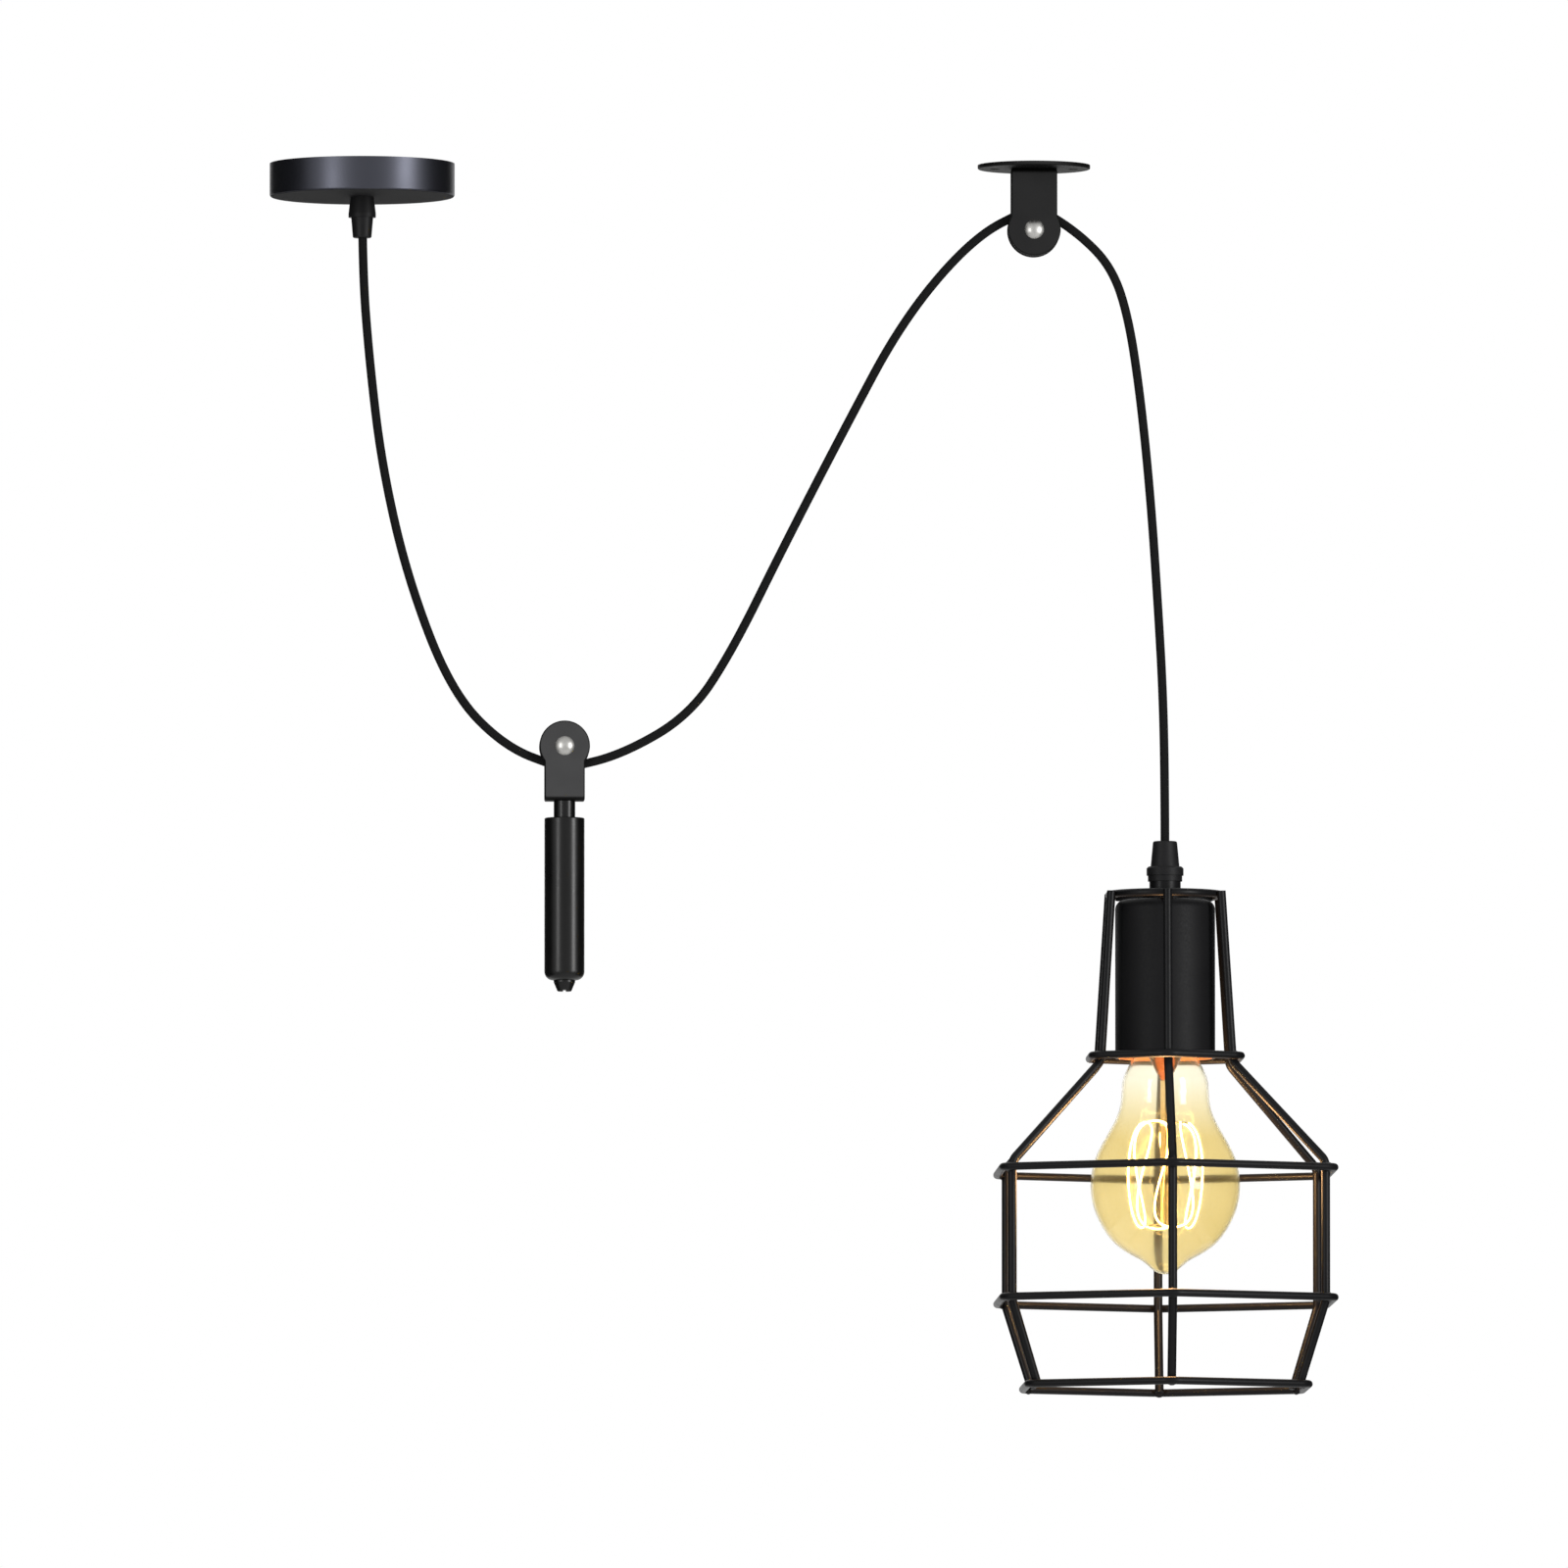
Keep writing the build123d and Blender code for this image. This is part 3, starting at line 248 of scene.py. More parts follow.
def add_grain(tree, grain_per_metre, patches_per_metre):
    """Places the shared grain group in a material."""
    node = tree.nodes.new("ShaderNodeGroup")
    node.node_tree = surface_grain
    node.inputs["Grain per metre"].default_value = grain_per_metre
    node.inputs["Patches per metre"].default_value = patches_per_metre
    return node


def add_cloudy_colour(tree, grain, dark, light):
    """A colour that drifts between a dark and a light tone with the patches of the grain."""
    patches = spread_noise(tree, grain.outputs["Patches"], 0.0, 1.0)
    return add_colour_mix(tree, patches, dark, light)


def add_bump(tree, shader, height, depth):
    """Turns a height of the given depth into the shader's normal."""
    bump = add_node(tree, "ShaderNodeBump", {"Strength": 1.0, "Distance": depth})
    tree.links.new(height, bump.inputs["Height"])
    tree.links.new(bump.outputs["Normal"], shader.inputs["Normal"])


def add_facing(tree, axis):
    """How far the surface faces along an axis of the part, from -1 to 1."""
    place = tree.nodes.new("ShaderNodeTexCoord")
    facing = tree.nodes.new("ShaderNodeSeparateXYZ")
    tree.links.new(place.outputs["Normal"], facing.inputs["Vector"])
    return facing.outputs[axis]


# Finishes.


def start_material(name):
    """Starts a material and returns it with its node tree and its shader."""
    material = bpy.data.materials.new(name)
    material.use_nodes = True
    tree = material.node_tree
    return material, tree, tree.nodes["Principled BSDF"]


def make_finish(
    name,
    dark,
    light,
    roughness,
    specular,
    grain_per_metre,
    grain_depth,
    patches_per_metre,
    metal=0.0,
):
    """A finish with cloudy tone, uneven gloss and a fine grain."""
    material, tree, shader = start_material(name)
    grain = add_grain(tree, grain_per_metre, patches_per_metre)
    colour = add_cloudy_colour(tree, grain, dark, light)
    both = add_math(tree, "ADD", grain.outputs["Grain"], grain.outputs["Patches"])
    gloss = add_range(tree, both, noise_sum_low, noise_sum_high, *roughness)
    tree.links.new(colour, shader.inputs["Base Color"])
    tree.links.new(gloss, shader.inputs["Roughness"])
    add_bump(tree, shader, grain.outputs["Grain"], grain_depth)
    shader.inputs["Metallic"].default_value = metal
    shader.inputs["Specular IOR Level"].default_value = specular
    return material


def make_yoke_paint(name, shaded_rim, dark, light):
    """Satin paint of a yoke: flat cheeks between rims and bends that are painted darker, as painted shade.
    """
    material, tree, shader = start_material(name)
    grain = add_grain(tree, grain_per_metre=1800.0, patches_per_metre=60.0)
    facing_of_rim = 0.90
    facing_of_cheek = 0.995
    facing = add_math(tree, "ABSOLUTE", add_facing(tree, "Y"))
    cheek = add_range(tree, facing, facing_of_rim, facing_of_cheek, 0.0, 1.0)
    cheek_tone = add_cloudy_colour(tree, grain, dark, light)
    gloss = spread_noise(tree, grain.outputs["Grain"], 0.50, 0.62)
    # Where the surface turns away from the cheek, the rims and bends get the darker colour as painted
    # shade.
    tree.links.new(add_colour_mix(tree, cheek, shaded_rim, cheek_tone), shader.inputs["Base Color"])
    tree.links.new(gloss, shader.inputs["Roughness"])
    add_bump(tree, shader, grain.outputs["Grain"], depth=0.00002)
    shader.inputs["Specular IOR Level"].default_value = 0.10
    return material


def make_canopy_lacquer():
    """Pearl black of the canopy: its turned wall shines like dark metal, and its flat face is matte and
    painted darker, as painted shade under the canopy.
    """
    material, tree, shader = start_material("canopy_pearl_black")
    grain = add_grain(tree, grain_per_metre=1100.0, patches_per_metre=30.0)
    facing_of_flat = -0.95
    facing_of_wall = -0.6
    # The flat face's near-black colour is painted shade under the canopy.
    shaded_flat_black = (0.006, 0.006, 0.0065)
    pearl_black = (0.056, 0.058, 0.071)
    wall = add_range(tree, add_facing(tree, "Z"), facing_of_flat, facing_of_wall, 0.0, 1.0)
    tone = spread_noise(tree, grain.outputs["Patches"], 0.85, 1.0)
    pearl = add_math(tree, "MULTIPLY", wall, tone)
    colour = add_colour_mix(tree, pearl, shaded_flat_black, pearl_black)
    gloss = add_range(tree, pearl, 0.0, 1.0, 0.80, 0.34)
    tree.links.new(colour, shader.inputs["Base Color"])
    tree.links.new(wall, shader.inputs["Metallic"])
    tree.links.new(gloss, shader.inputs["Roughness"])
    add_bump(tree, shader, grain.outputs["Grain"], depth=0.000005)
    shader.inputs["Specular IOR Level"].default_value = 0.10
    return material


def make_cup_coat_and_glow():
    """Coat of the lampholder cup: satin black outside, and an orange-brown painted glow of the bulb on the
    inside of its wall.
    """
    material, tree, shader = start_material("cup_coat_with_painted_glow")
    grain = add_grain(tree, grain_per_metre=1400.0, patches_per_metre=35.0)
    facing_of_edge = -0.3
    facing_of_inside = -0.7
    place = tree.nodes.new("ShaderNodeTexCoord")
    from_axis = add_vector_math(tree, "SUBTRACT", place.outputs["Object"], lamp_axis)
    level = add_vector_math(tree, "MULTIPLY", from_axis, level_only)
    outward = add_vector_math(tree, "NORMALIZE", level)
    facing = add_vector_math(tree, "DOT_PRODUCT", outward, place.outputs["Normal"], result="Value")
    inside = add_range(tree, facing, facing_of_edge, facing_of_inside, 0.0, 1.0)
    black = add_cloudy_colour(tree, grain, (0.0045, 0.0045, 0.005), (0.007, 0.007, 0.0075))
    # The orange-brown colour inside the wall is painted light: the bulb's glow on the cup's inner wall.
    painted_glow = add_cloudy_colour(tree, grain, (0.26, 0.12, 0.055), (0.30, 0.14, 0.065))
    gloss = spread_noise(tree, grain.outputs["Grain"], 0.48, 0.60)
    tree.links.new(add_colour_mix(tree, inside, black, painted_glow), shader.inputs["Base Color"])
    tree.links.new(gloss, shader.inputs["Roughness"])
    add_bump(tree, shader, grain.outputs["Grain"], depth=0.00001)
    shader.inputs["Specular IOR Level"].default_value = 0.10
    return material


def make_braid():
    """Black textile braid: threads that pass over and under each other round the cord."""
    material, tree, shader = start_material("cord_braid")
    cells_round = 10
    threads_in_cell = 3
    cell_scale = cells_round * math.sqrt(2)
    place = tree.nodes.new("ShaderNodeTexCoord")
    turned = add_node(
        tree,
        "ShaderNodeMapping",
        {
            "Rotation": (0.0, 0.0, math.radians(45)),
            "Scale": (cell_scale, cell_scale, 1.0),
        },
    )
    split = tree.nodes.new("ShaderNodeSeparateXYZ")
    over = add_node(tree, "ShaderNodeTexChecker", {"Scale": 1.0})
    tree.links.new(place.outputs["UV"], turned.inputs["Vector"])
    tree.links.new(turned.outputs["Vector"], split.inputs["Vector"])
    tree.links.new(turned.outputs["Vector"], over.inputs["Vector"])
    weave = add_node(tree, "ShaderNodeMix", data_type="FLOAT")
    tree.links.new(over.outputs["Fac"], weave.inputs[mix_factor])
    for along, value in zip(("X", "Y"), mix_values):
        turn = add_math(tree, "MULTIPLY", split.outputs[along], threads_in_cell * math.pi)
        wave = add_math(tree, "SINE", turn)
        height = add_math(tree, "ABSOLUTE", wave)
        tree.links.new(height, weave.inputs[value])
    thread = weave.outputs[mixed_value]
    colour = add_colour_mix(tree, thread, (0.003, 0.003, 0.003), (0.010, 0.010, 0.0105))
    gloss = add_range(tree, thread, 0.0, 1.0, 0.95, 0.72)
    tree.links.new(colour, shader.inputs["Base Color"])
    tree.links.new(gloss, shader.inputs["Roughness"])
    add_bump(tree, shader, thread, depth=0.00012)
    shader.inputs["Specular IOR Level"].default_value = 0.1
    return material


def make_bulb_glass():
    """Amber glass with faint waves from blowing and a fine haze, painted paler towards the neck as painted
    light of the glowing bulb, with a faint painted glow.
    """
    material, tree, shader = start_material("amber_bulb_glass")
    waves = add_grain(tree, grain_per_metre=60.0, patches_per_metre=22.0)
    haze = add_grain(tree, grain_per_metre=9000.0, patches_per_metre=22.0)
    clear_up_to = 0.46
    hazy_from = 0.60
    place = tree.nodes.new("ShaderNodeTexCoord")
    height = tree.nodes.new("ShaderNodeSeparateXYZ")
    tree.links.new(place.outputs["Object"], height.inputs["Vector"])
    amber = add_cloudy_colour(tree, waves, (0.87, 0.765, 0.46), (0.93, 0.83, 0.54))
    # Towards the neck the glass colour is painted near-white, as painted light of the glowing bulb.
    neck = add_range(tree, height.outputs["Z"], amber_end, painted_glow_start, 0.0, 1.0)
    colour = add_colour_mix(tree, neck, amber, (1.0, 0.98, 0.87))
    gloss = add_range(tree, haze.outputs["Grain"], clear_up_to, hazy_from, 0.0, 0.32)
    tree.links.new(colour, shader.inputs["Base Color"])
    tree.links.new(gloss, shader.inputs["Roughness"])
    add_bump(tree, shader, waves.outputs["Grain"], depth=0.00005)
    shader.inputs["Transmission Weight"].default_value = 1.0
    shader.inputs["IOR"].default_value = 1.06
    shader.inputs["Coat Weight"].default_value = 0.35
    shader.inputs["Coat Roughness"].default_value = 0.03
    # A faint amber emission on the glass is a painted glow of the lit bulb.
    shader.inputs["Emission Color"].default_value = (1.0, 0.78, 0.40, 1.0)
    shader.inputs["Emission Strength"].default_value = 0.02
    material.cycles.emission_sampling = "NONE"
    return material


def make_stem_glass():
    """Drawn glass of the stem inside the bulb, painted warm orange as painted light of the filament's glow.
    """
    material, tree, shader = start_material("clear_stem_glass")
    grain = add_grain(tree, grain_per_metre=300.0, patches_per_metre=80.0)
    # The orange colour is painted light of the filament on the stem.
    colour = add_cloudy_colour(tree, grain, (0.80, 0.54, 0.24), (0.88, 0.62, 0.32))
    gloss = spread_noise(tree, grain.outputs["Grain"], 0.02, 0.10)
    tree.links.new(colour, shader.inputs["Base Color"])
    tree.links.new(gloss, shader.inputs["Roughness"])
    shader.inputs["Transmission Weight"].default_value = 1.0
    shader.inputs["IOR"].default_value = 1.35
    return material


def make_filament_glow():
    """White-hot filament that is a little redder in places."""
    material, tree, shader = start_material("filament_glow")
    grain = add_grain(tree, grain_per_metre=400.0, patches_per_metre=120.0)
    glow = add_cloudy_colour(tree, grain, (1.0, 0.62, 0.22), (1.0, 0.78, 0.40))
    colour = add_cloudy_colour(tree, grain, (0.8, 0.5, 0.2), (1.0, 0.8, 0.45))
    tree.links.new(glow, shader.inputs["Emission Color"])
    tree.links.new(colour, shader.inputs["Base Color"])
    shader.inputs["Emission Strength"].default_value = 45.0
    shader.inputs["Roughness"].default_value = 0.6
    material.cycles.emission_sampling = "NONE"
    return material


finishes = {
    "satin_black": make_finish(
        "satin_powder_coat",
        dark=(0.0045, 0.0045, 0.005),
        light=(0.007, 0.007, 0.0075),
        roughness=(0.32, 0.44),
        specular=0.10,
        grain_per_metre=1400.0,
        grain_depth=0.000004,
        patches_per_metre=35.0,
    ),
    "yoke_black": make_yoke_paint(
        "black_yoke_paint",
        # Painted shade on the yoke's rims and bends.
        shaded_rim=(0.002, 0.002, 0.002),
        dark=(0.012, 0.012, 0.0122),
        light=(0.016, 0.016, 0.0162),
    ),
    "yoke_grey": make_yoke_paint(
        # Painted shade on the yoke's rims and bends.
        "grey_yoke_paint",
        shaded_rim=(0.003, 0.003, 0.003),
        dark=(0.046, 0.046, 0.047),
        light=(0.056, 0.056, 0.057),
    ),
    "gloss_black": make_finish(
        "gloss_lacquer",
        dark=(0.002, 0.002, 0.002),
        light=(0.003, 0.003, 0.003),
        roughness=(0.27, 0.33),
        specular=0.22,
        grain_per_metre=500.0,
        grain_depth=0.000002,
        patches_per_metre=40.0,
    ),
    "black_plastic": make_finish(
        "moulded_grip_plastic",
        dark=(0.006, 0.006, 0.0065),
        light=(0.009, 0.009, 0.0095),
        roughness=(0.44, 0.56),
        specular=0.12,
        grain_per_metre=2500.0,
        grain_depth=0.00003,
        patches_per_metre=90.0,
    ),
    "bright_pin": make_finish(
        "polished_nickel",
        dark=(0.34, 0.335, 0.32),
        light=(0.42, 0.415, 0.40),
        roughness=(0.34, 0.44),
        specular=0.5,
        grain_per_metre=900.0,
        grain_depth=0.00001,
        patches_per_metre=150.0,
        metal=1.0,
    ),
    "zinc_steel": make_finish(
        "zinc_plate",
        dark=(0.46, 0.47, 0.49),
        light=(0.60, 0.60, 0.60),
        roughness=(0.28, 0.42),
        specular=0.5,
        grain_per_metre=1500.0,
        grain_depth=0.00002,
        patches_per_metre=120.0,
        metal=1.0,
    ),
    "wheel_nylon": make_finish(
        "black_nylon",
        dark=(0.010, 0.010, 0.011),
        light=(0.018, 0.018, 0.019),
        roughness=(0.38, 0.52),
        specular=0.30,
        grain_per_metre=1600.0,
        grain_depth=0.00003,
        patches_per_metre=80.0,
    ),
    "white_plastic": make_finish(
        "white_moulding",
        dark=(0.74, 0.74, 0.71),
        light=(0.80, 0.80, 0.77),
        roughness=(0.34, 0.46),
        specular=0.45,
        grain_per_metre=1500.0,
        grain_depth=0.00002,
        patches_per_metre=70.0,
    ),
    "wire_insulation": make_finish(
        "brown_wire_insulation",
        dark=(0.15, 0.055, 0.025),
        light=(0.20, 0.075, 0.035),
        roughness=(0.26, 0.36),
        specular=0.45,
        grain_per_metre=1500.0,
        grain_depth=0.00001,
        patches_per_metre=90.0,
    ),
    "holder_plastic": make_finish(
        "holder_thermoset",
        dark=(0.012, 0.012, 0.012),
        light=(0.018, 0.018, 0.018),
        roughness=(0.22, 0.34),
        specular=0.40,
        grain_per_metre=1200.0,
        grain_depth=0.00002,
        patches_per_metre=70.0,
    ),
    "brass": make_finish(
        "plain_brass",
        dark=(0.62, 0.42, 0.16),
        light=(0.74, 0.54, 0.24),
        roughness=(0.20, 0.34),
        specular=0.5,
        grain_per_metre=1200.0,
        grain_depth=0.00001,
        patches_per_metre=110.0,
        metal=1.0,
    ),
    "insulator_black": make_finish(
        "black_vitreous_ring",
        dark=(0.008, 0.008, 0.010),
        light=(0.014, 0.014, 0.016),
        roughness=(0.10, 0.18),
        specular=0.5,
        grain_per_metre=800.0,
        grain_depth=0.00002,
        patches_per_metre=90.0,
    ),
    "support_wire": make_finish(
        "drawn_support_wire",
        dark=(0.30, 0.24, 0.18),
        light=(0.42, 0.35, 0.27),
        roughness=(0.30, 0.44),
        specular=0.5,
        grain_per_metre=2000.0,
        grain_depth=0.00001,
        patches_per_metre=200.0,
        metal=1.0,
    ),
    "cord_textile": make_braid(),
    "amber_glass": make_bulb_glass(),
    "stem_glass": make_stem_glass(),
    "filament_glow": make_filament_glow(),
}

# Two pieces have a finish of their own instead of their slot's.
own_finishes = {"canopy_cup": make_canopy_lacquer(), "socket_cup": make_cup_coat_and_glow()}

for name, node in frame["nodes"].items():
    slot_name = node.data.materials[0].name
    node.data.materials[0] = own_finishes.get(name, finishes[slot_name])


def link_to_scene(name, data):
    """Puts a mesh, a light or a camera in the scene under a name."""
    thing = bpy.data.objects.new(name, data)
    bpy.context.collection.objects.link(thing)
    return thing


# The cord.


def smooth_route(name, points):
    """Points along the smooth line that the route's control points give."""
    curve = bpy.data.curves.new(name, "CURVE")
    curve.dimensions = "3D"
    curve.resolution_u = 12
    spline = curve.splines.new("NURBS")
    spline.points.add(len(points) - 1)
    for point, (x, z) in zip(spline.points, points):
        point.co = (x, 0.0, z, 1.0)
    spline.order_u = 3
    spline.use_endpoint_u = True
    line = bpy.data.objects.new(name, curve)
    mesh = bpy.data.meshes.new_from_object(line)
    route = [vertex.co.copy() for vertex in mesh.vertices]
    bpy.data.objects.remove(line)
    bpy.data.meshes.remove(mesh)
    return route


def braided_tube(name, route):
    """A round tube along a route in the XZ plane, with a map of turns round it and lengths along it."""
    shape = bmesh.new()
    map_layer = shape.loops.layers.uv.new("braid_map")
    across = Vector((0.0, 1.0, 0.0))
    radius = cord_diameter / 2
    rings = []
    lengths = []
    travelled = 0.0
    for index, centre in enumerate(route):
        before = route[max(index - 1, 0)]
        after = route[min(index + 1, len(route) - 1)]
        outward = (after - before).normalized().cross(across)
        ring = []
        for side in range(cord_sides):
            angle = 2 * math.pi * side / cord_sides
            direction = math.cos(angle) * across + math.sin(angle) * outward
            ring.append(shape.verts.new(centre + radius * direction))
        if index:
            travelled += (centre - before).length
        rings.append(ring)
        lengths.append(travelled / (math.pi * cord_diameter))
    for step in range(len(rings) - 1):
        near = rings[step]
        far = rings[step + 1]
        start = lengths[step]
        end = lengths[step + 1]
        for side in range(cord_sides):
            other = (side + 1) % cord_sides
            face = shape.faces.new((near[side], near[other], far[other], far[side]))
            face.smooth = True
            left = side / cord_sides
            right = (side + 1) / cord_sides
            corners = ((left, start), (right, start), (right, end), (left, end))
            for loop, corner in zip(face.loops, corners):
                loop[map_layer].uv = corner
    shape.faces.new(rings[0])
    shape.faces.new(rings[-1])
    bmesh.ops.recalc_face_normals(shape, faces=shape.faces)
    mesh = bpy.data.meshes.new(name)
    shape.to_mesh(mesh)
    shape.free()
    mesh.materials.append(finishes["cord_textile"])
    return link_to_scene(name, mesh)


def hang_cord(name, points, node):
    """Makes one run of the cord, a fixed curved tube between two bodies, in place of its solid."""
    route = smooth_route(name + "_line", points)
    run = braided_tube(name, route)
    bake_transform(run)
    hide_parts(node)


hang_cord(
    "cord_canopy_run_braid",
    canopy_run_points,
    "cord_canopy_run",
)
hang_cord(
    "cord_middle_run_braid",
    middle_run_points,
    "cord_middle_run",
)
hang_cord(
    "cord_lamp_run_braid",
    lamp_run_points,
    "cord_lamp_run",
)


# The wire cage.


def start_tree(name, inputs):
    """Starts a geometry tree with a geometry input and the named inputs."""
    tree = bpy.data.node_groups.new(name, "GeometryNodeTree")
    tree.interface.new_socket("Geometry", in_out="INPUT", socket_type="NodeSocketGeometry")
    for label, kind in inputs:
        tree.interface.new_socket(label, in_out="INPUT", socket_type="NodeSocket" + kind)
    tree.interface.new_socket("Geometry", in_out="OUTPUT", socket_type="NodeSocketGeometry")
    return tree, tree.nodes.new("NodeGroupInput"), tree.nodes.new("NodeGroupOutput")


def end_tree(tree, instances, given, result):
    """Ends a geometry tree: real faces in the given material."""
    realize = tree.nodes.new("GeometryNodeRealizeInstances")
    finish = tree.nodes.new("GeometryNodeSetMaterial")
    tree.links.new(instances, realize.inputs["Geometry"])
    tree.links.new(realize.outputs["Geometry"], finish.inputs["Geometry"])
    tree.links.new(given.outputs["Material"], finish.inputs["Material"])
    tree.links.new(finish.outputs["Geometry"], result.inputs["Geometry"])


def make_bent_wire_tree():
    """Bends round wire along lines of corners and repeats it evenly about an upright axis."""
    sizes = [
        ("Wire diameter", "Float"),
        ("Bend radius", "Float"),
        ("Copies", "Int"),
        ("Axis", "Vector"),
        ("Material", "Material"),
    ]
    tree, given, result = start_tree("bent_wire", sizes)
    line = tree.nodes.new("GeometryNodeMeshToCurve")
    bend = add_node(tree, "GeometryNodeFilletCurve", {"Count": 8}, mode="POLY")
    half = add_math(tree, "MULTIPLY", given.outputs["Wire diameter"], 0.5)
    section = add_node(tree, "GeometryNodeCurvePrimitiveCircle", {"Resolution": 20})
    wire = add_node(tree, "GeometryNodeCurveToMesh", {"Fill Caps": True})
    spots = tree.nodes.new("GeometryNodePoints")
    order = tree.nodes.new("GeometryNodeInputIndex")
    share = add_math(tree, "DIVIDE", order.outputs["Index"], given.outputs["Copies"])
    turn = add_math(tree, "MULTIPLY", share, 2 * math.pi)
    upright = tree.nodes.new("ShaderNodeCombineXYZ")
    copies = tree.nodes.new("GeometryNodeInstanceOnPoints")
    tree.links.new(given.outputs["Geometry"], line.inputs["Mesh"])
    tree.links.new(line.outputs["Curve"], bend.inputs["Curve"])
    tree.links.new(given.outputs["Bend radius"], bend.inputs["Radius"])
    tree.links.new(half, section.inputs["Radius"])
    tree.links.new(bend.outputs["Curve"], wire.inputs["Curve"])
    tree.links.new(section.outputs["Curve"], wire.inputs["Profile Curve"])
    tree.links.new(given.outputs["Copies"], spots.inputs["Count"])
    tree.links.new(given.outputs["Axis"], spots.inputs["Position"])
    tree.links.new(turn, upright.inputs["Z"])
    tree.links.new(spots.outputs["Points"], copies.inputs["Points"])
    tree.links.new(wire.outputs["Mesh"], copies.inputs["Instance"])
    tree.links.new(upright.outputs["Vector"], copies.inputs["Rotation"])
    end_tree(tree, copies.outputs["Instances"], given, result)
    return tree


def make_weld_tree():
    """Sets a flat round bead of weld on each crossing, turned to face out from the cage's axis."""
    sizes = [("Bead size", "Vector"), ("Axis", "Vector"), ("Material", "Material")]
    tree, given, result = start_tree("weld_beads", sizes)
    bead = add_node(tree, "GeometryNodeMeshUVSphere", {"Segments": 16, "Rings": 10, "Radius": 0.5})
    place = tree.nodes.new("GeometryNodeInputPosition")
    outward = add_vector_math(tree, "SUBTRACT", place.outputs["Position"], given.outputs["Axis"])
    level = add_vector_math(tree, "MULTIPLY", outward, level_only)
    facing = add_node(tree, "FunctionNodeAlignRotationToVector", axis="X")
    spots = tree.nodes.new("GeometryNodeMeshToPoints")
    copies = tree.nodes.new("GeometryNodeInstanceOnPoints")
    tree.links.new(level, facing.inputs["Vector"])
    tree.links.new(given.outputs["Geometry"], spots.inputs["Mesh"])
    tree.links.new(spots.outputs["Points"], copies.inputs["Points"])
    tree.links.new(bead.outputs["Mesh"], copies.inputs["Instance"])
    tree.links.new(facing.outputs["Rotation"], copies.inputs["Rotation"])
    tree.links.new(given.outputs["Bead size"], copies.inputs["Scale"])
    end_tree(tree, copies.outputs["Instances"], given, result)
    return tree


def grow(name, tree, vertices, edges, values):
    """Runs a geometry tree on corner points and keeps the result as a plain mesh."""
    start = bpy.data.meshes.new(name + "_start")
    start.from_pydata(vertices, edges, [])
    piece = link_to_scene(name, start)
    modifier = piece.modifiers.new(name, "NODES")
    modifier.node_group = tree
    for item in tree.interface.items_tree:
        if item.in_out == "INPUT" and item.name in values:
            modifier[item.identifier] = values[item.name]
    ready = piece.evaluated_get(bpy.context.evaluated_depsgraph_get())
    mesh = bpy.data.meshes.new_from_object(ready)
    piece.modifiers.remove(modifier)
    piece.data = mesh
    mesh.shade_smooth()
    mesh.set_sharp_from_angle(angle=math.radians(50))
    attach(piece, "lamp")
    return piece


def turned_point(centre_x, radius, angle, height):
    """A point at a radius and an angle about an upright axis."""
    return (centre_x + radius * math.cos(angle), radius * math.sin(angle), height)


rib_angles = [first_rib_angle + 2 * math.pi * place / cage_sides for place in range(cage_sides)]
bent_wire = make_bent_wire_tree()

# One rib is drawn about the frame's origin, and its copies are set round the lamp's axis.
rib_line = [turned_point(0.0, radius, first_rib_angle, height) for radius, height in rib_corners]
rib_steps = [(corner, corner + 1) for corner in range(len(rib_line) - 1)]
cage_ribs = grow(
    "cage_ribs",
    bent_wire,
    rib_line,
    rib_steps,
    {
        "Wire diameter": rib_wire,
        "Bend radius": rib_bend,
        "Copies": cage_sides,
        "Axis": lamp_axis,
        "Material": finishes["satin_black"],
    },
)
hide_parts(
    "cage_rib_front",
    "cage_rib_front_right",
    "cage_rib_back_right",
    "cage_rib_back",
    "cage_rib_back_left",
    "cage_rib_front_left",
)

# The rings are drawn in their places, and a weld bead sits where a ring's rounded corner meets a rib.
half_corner = math.radians(60)
corner_cut = ring_bend * (1 / math.sin(half_corner) - 1)
ring_line = []
ring_steps = []
weld_points = []
for height, radius in ring_corners:
    first = len(ring_line)
    contact = radius - corner_cut - ring_wire / 2
    ring_line.extend(turned_point(lamp_axis_x, radius, angle, height) for angle in rib_angles)
    ring_steps.extend((first + side, first + (side + 1) % cage_sides) for side in range(cage_sides))
    weld_points.extend(turned_point(lamp_axis_x, contact, angle, height) for angle in rib_angles)
cage_rings = grow(
    "cage_rings",
    bent_wire,
    ring_line,
    ring_steps,
    {
        "Wire diameter": ring_wire,
        "Bend radius": ring_bend,
        "Copies": 1,
        "Axis": frame_origin,
        "Material": finishes["satin_black"],
    },
)
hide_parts("cage_neck_ring", "cage_shoulder_ring", "cage_waist_ring", "cage_bottom_ring")
grow(
    "cage_welds",
    make_weld_tree(),
    weld_points,
    [],
    {"Bead size": weld_bead, "Axis": lamp_axis, "Material": finishes["satin_black"]},
)


# The studio, in metres.

view_centre = Vector((0.1724, 0.0, -0.2536))
view_width = 0.64
camera_lens_mm = 600.0
camera_sensor_mm = 36.0
camera_distance = view_width * camera_lens_mm / camera_sensor_mm
camera_sight = 200.0
camera_azimuth = math.radians(-1.5)
camera_elevation = math.radians(-3.6)
strip_distance = 1.5
card_distance = 0.9
card_front = -0.24
card_back = 1.9
card_bottom = -1.1
card_top = 0.6
floor_height = -1.3
floor_reach = 60.0

# How strong the world is as a light, and how far the floor's own glow lifts its colour to white.
world_light = 0.35
floor_glow = 0.55


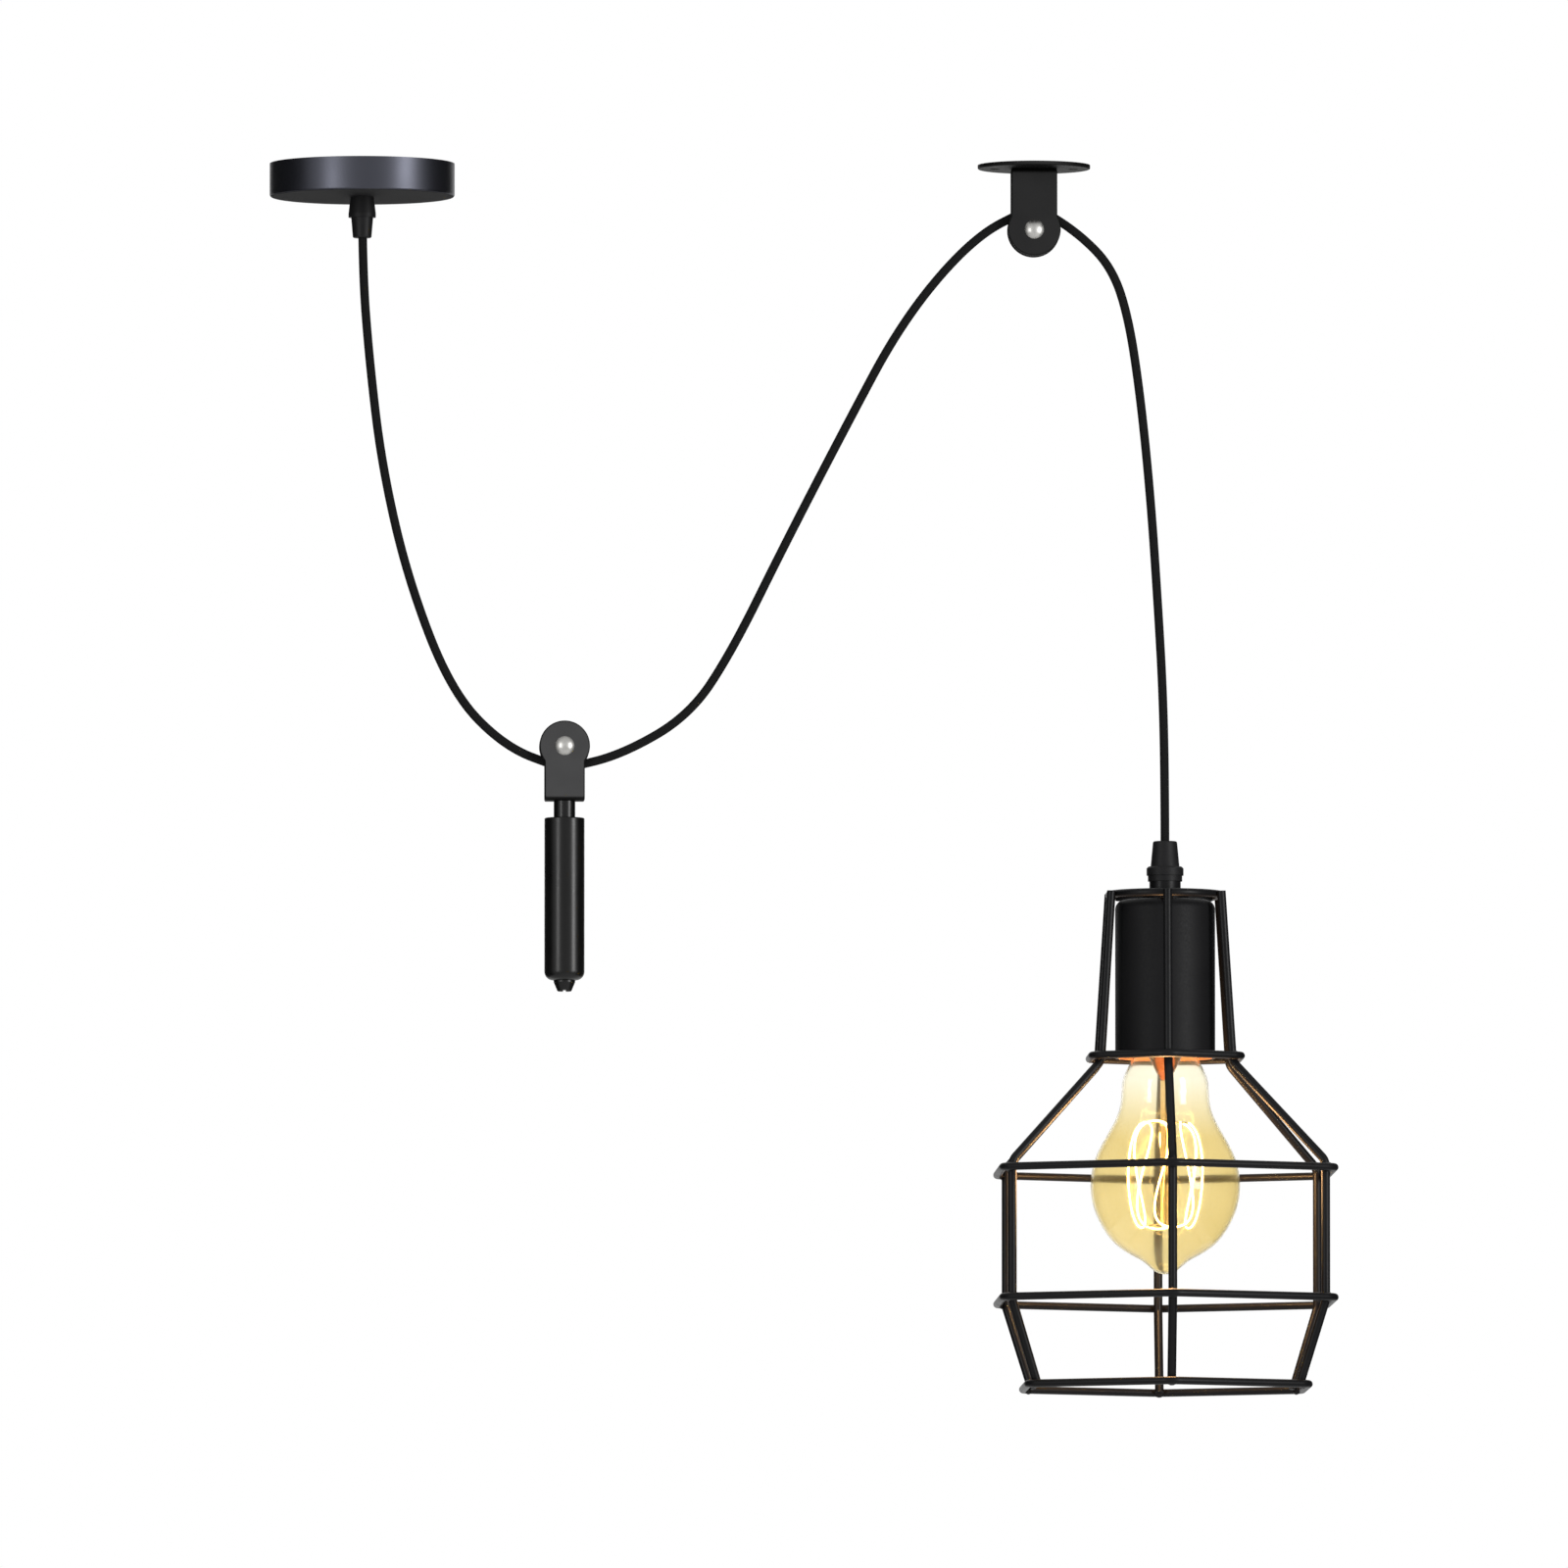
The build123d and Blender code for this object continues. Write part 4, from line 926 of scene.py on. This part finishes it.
def aside(azimuth, elevation, distance):
    """A point at a distance from the middle of the view, azimuth from the front, positive to the right."""
    level = distance * math.cos(elevation)
    return view_centre + Vector(
        (level * math.sin(azimuth), -level * math.cos(azimuth), distance * math.sin(elevation))
    )


def look_at_centre(thing):
    """Turns a camera or a light to the middle of the view."""
    thing.rotation_euler = (view_centre - thing.location).to_track_quat("-Z", "Y").to_euler()


def set_camera():
    """A long lens from a little below, between the photograph's level and its look up into the cage."""
    camera = bpy.data.cameras.new("camera")
    camera.lens = camera_lens_mm
    camera.sensor_width = camera_sensor_mm
    camera.clip_end = camera_sight
    holder = link_to_scene("camera", camera)
    holder.location = aside(camera_azimuth, camera_elevation, camera_distance)
    look_at_centre(holder)
    bpy.context.scene.camera = holder


def set_strip_light(name, azimuth, elevation, size, power):
    """A tall soft light."""
    light = bpy.data.lights.new(name, "AREA")
    light.shape = "RECTANGLE"
    light.size, light.size_y = size
    light.energy = power
    holder = link_to_scene(name, light)
    holder.location = aside(math.radians(azimuth), math.radians(elevation), strip_distance)
    look_at_centre(holder)
    holder.visible_camera = False


def set_side_card(name, side):
    """A dark card beside the object, seen only in reflections, which keeps the black pieces' edges dark."""
    mesh = bpy.data.meshes.new(name)
    x = view_centre.x + side * card_distance
    corners = [
        (x, card_front, card_bottom),
        (x, card_back, card_bottom),
        (x, card_back, card_top),
        (x, card_front, card_top),
    ]
    mesh.from_pydata(corners, [], [(0, 1, 2, 3)])
    card = link_to_scene(name, mesh)
    material, tree, shader = start_material(name)
    grain = add_grain(tree, grain_per_metre=200.0, patches_per_metre=4.0)
    colour = add_colour_mix(tree, grain.outputs["Patches"], (0.03, 0.03, 0.03), (0.05, 0.05, 0.05))
    tree.links.new(colour, shader.inputs["Base Color"])
    shader.inputs["Roughness"].default_value = 0.9
    mesh.materials.append(material)
    card.visible_camera = False
    card.visible_diffuse = False
    card.visible_transmission = False
    card.visible_shadow = False


def set_bulb_light():
    """Warm light of the filament on the cage, the cup and the holder."""
    light = bpy.data.lights.new("filament_light", "POINT")
    light.color = (1.0, 0.54, 0.24)
    light.energy = 1.0
    light.shadow_soft_size = 0.012
    light.use_shadow = False
    holder = link_to_scene("filament_light", light)
    holder.location = (lamp_axis_x, 0.0, filament_height)
    holder.visible_camera = False
    holder.visible_transmission = False
    lit = bpy.data.collections.new("lit_by_filament")
    for piece in bpy.context.scene.objects:
        if piece.name.startswith(("cage_", "socket_cup", "holder_")):
            lit.objects.link(piece)
    holder.light_linking.receiver_collection = lit


def add_seen(tree):
    """One for what is seen, straight, in gloss or through glass, and zero for the light on surfaces."""
    paths = tree.nodes.new("ShaderNodeLightPath")
    seen = add_math(tree, "MAXIMUM", paths.outputs["Is Camera Ray"], paths.outputs["Is Glossy Ray"])
    return add_math(tree, "MAXIMUM", seen, paths.outputs["Is Transmission Ray"])


def set_world():
    """White studio: plain white to the eye and in reflections, softer as a light."""
    world = bpy.data.worlds.new("white_studio")
    bpy.context.scene.world = world
    world.use_nodes = True
    tree = world.node_tree
    background = tree.nodes["Background"]
    background.inputs["Color"].default_value = (1.0, 1.0, 1.0, 1.0)
    strength = add_range(tree, add_seen(tree), 0.0, 1.0, world_light, 1.0)
    tree.links.new(strength, background.inputs["Strength"])


def set_floor():
    """Pale floor far below, which looks white to the eye and is clear from underneath."""
    mesh = bpy.data.meshes.new("floor")
    corners = [
        (-floor_reach, -floor_reach, floor_height),
        (floor_reach, -floor_reach, floor_height),
        (floor_reach, floor_reach, floor_height),
        (-floor_reach, floor_reach, floor_height),
    ]
    mesh.from_pydata(corners, [], [(0, 1, 2, 3)])
    floor = link_to_scene("floor", mesh)
    material, tree, shader = start_material("pale_floor")
    grain = add_grain(tree, grain_per_metre=40.0, patches_per_metre=1.5)
    colour = add_cloudy_colour(tree, grain, (0.86, 0.86, 0.86), (0.90, 0.90, 0.90))
    glow = add_colour_mix(tree, add_seen(tree), (0.0, 0.0, 0.0), (1.0, 1.0, 1.0))
    tree.links.new(colour, shader.inputs["Base Color"])
    tree.links.new(glow, shader.inputs["Emission Color"])
    shader.inputs["Roughness"].default_value = 0.8
    shader.inputs["Emission Strength"].default_value = floor_glow
    facing = tree.nodes.new("ShaderNodeNewGeometry")
    clear = tree.nodes.new("ShaderNodeBsdfTransparent")
    either = tree.nodes.new("ShaderNodeMixShader")
    tree.links.new(facing.outputs["Backfacing"], either.inputs[0])
    tree.links.new(shader.outputs["BSDF"], either.inputs[1])
    tree.links.new(clear.outputs["BSDF"], either.inputs[2])
    tree.links.new(either.outputs["Shader"], tree.nodes["Material Output"].inputs["Surface"])
    mesh.materials.append(material)


set_camera()
set_world()
set_floor()
set_strip_light("left_strip", azimuth=-41, elevation=4, size=(0.3, 0.8), power=7.5)
set_strip_light("right_strip", azimuth=51, elevation=4, size=(0.36, 0.8), power=17.0)
set_side_card("left_card", -1)
set_side_card("right_card", 1)
set_bulb_light()
bpy.context.scene.view_settings.view_transform = "Standard"
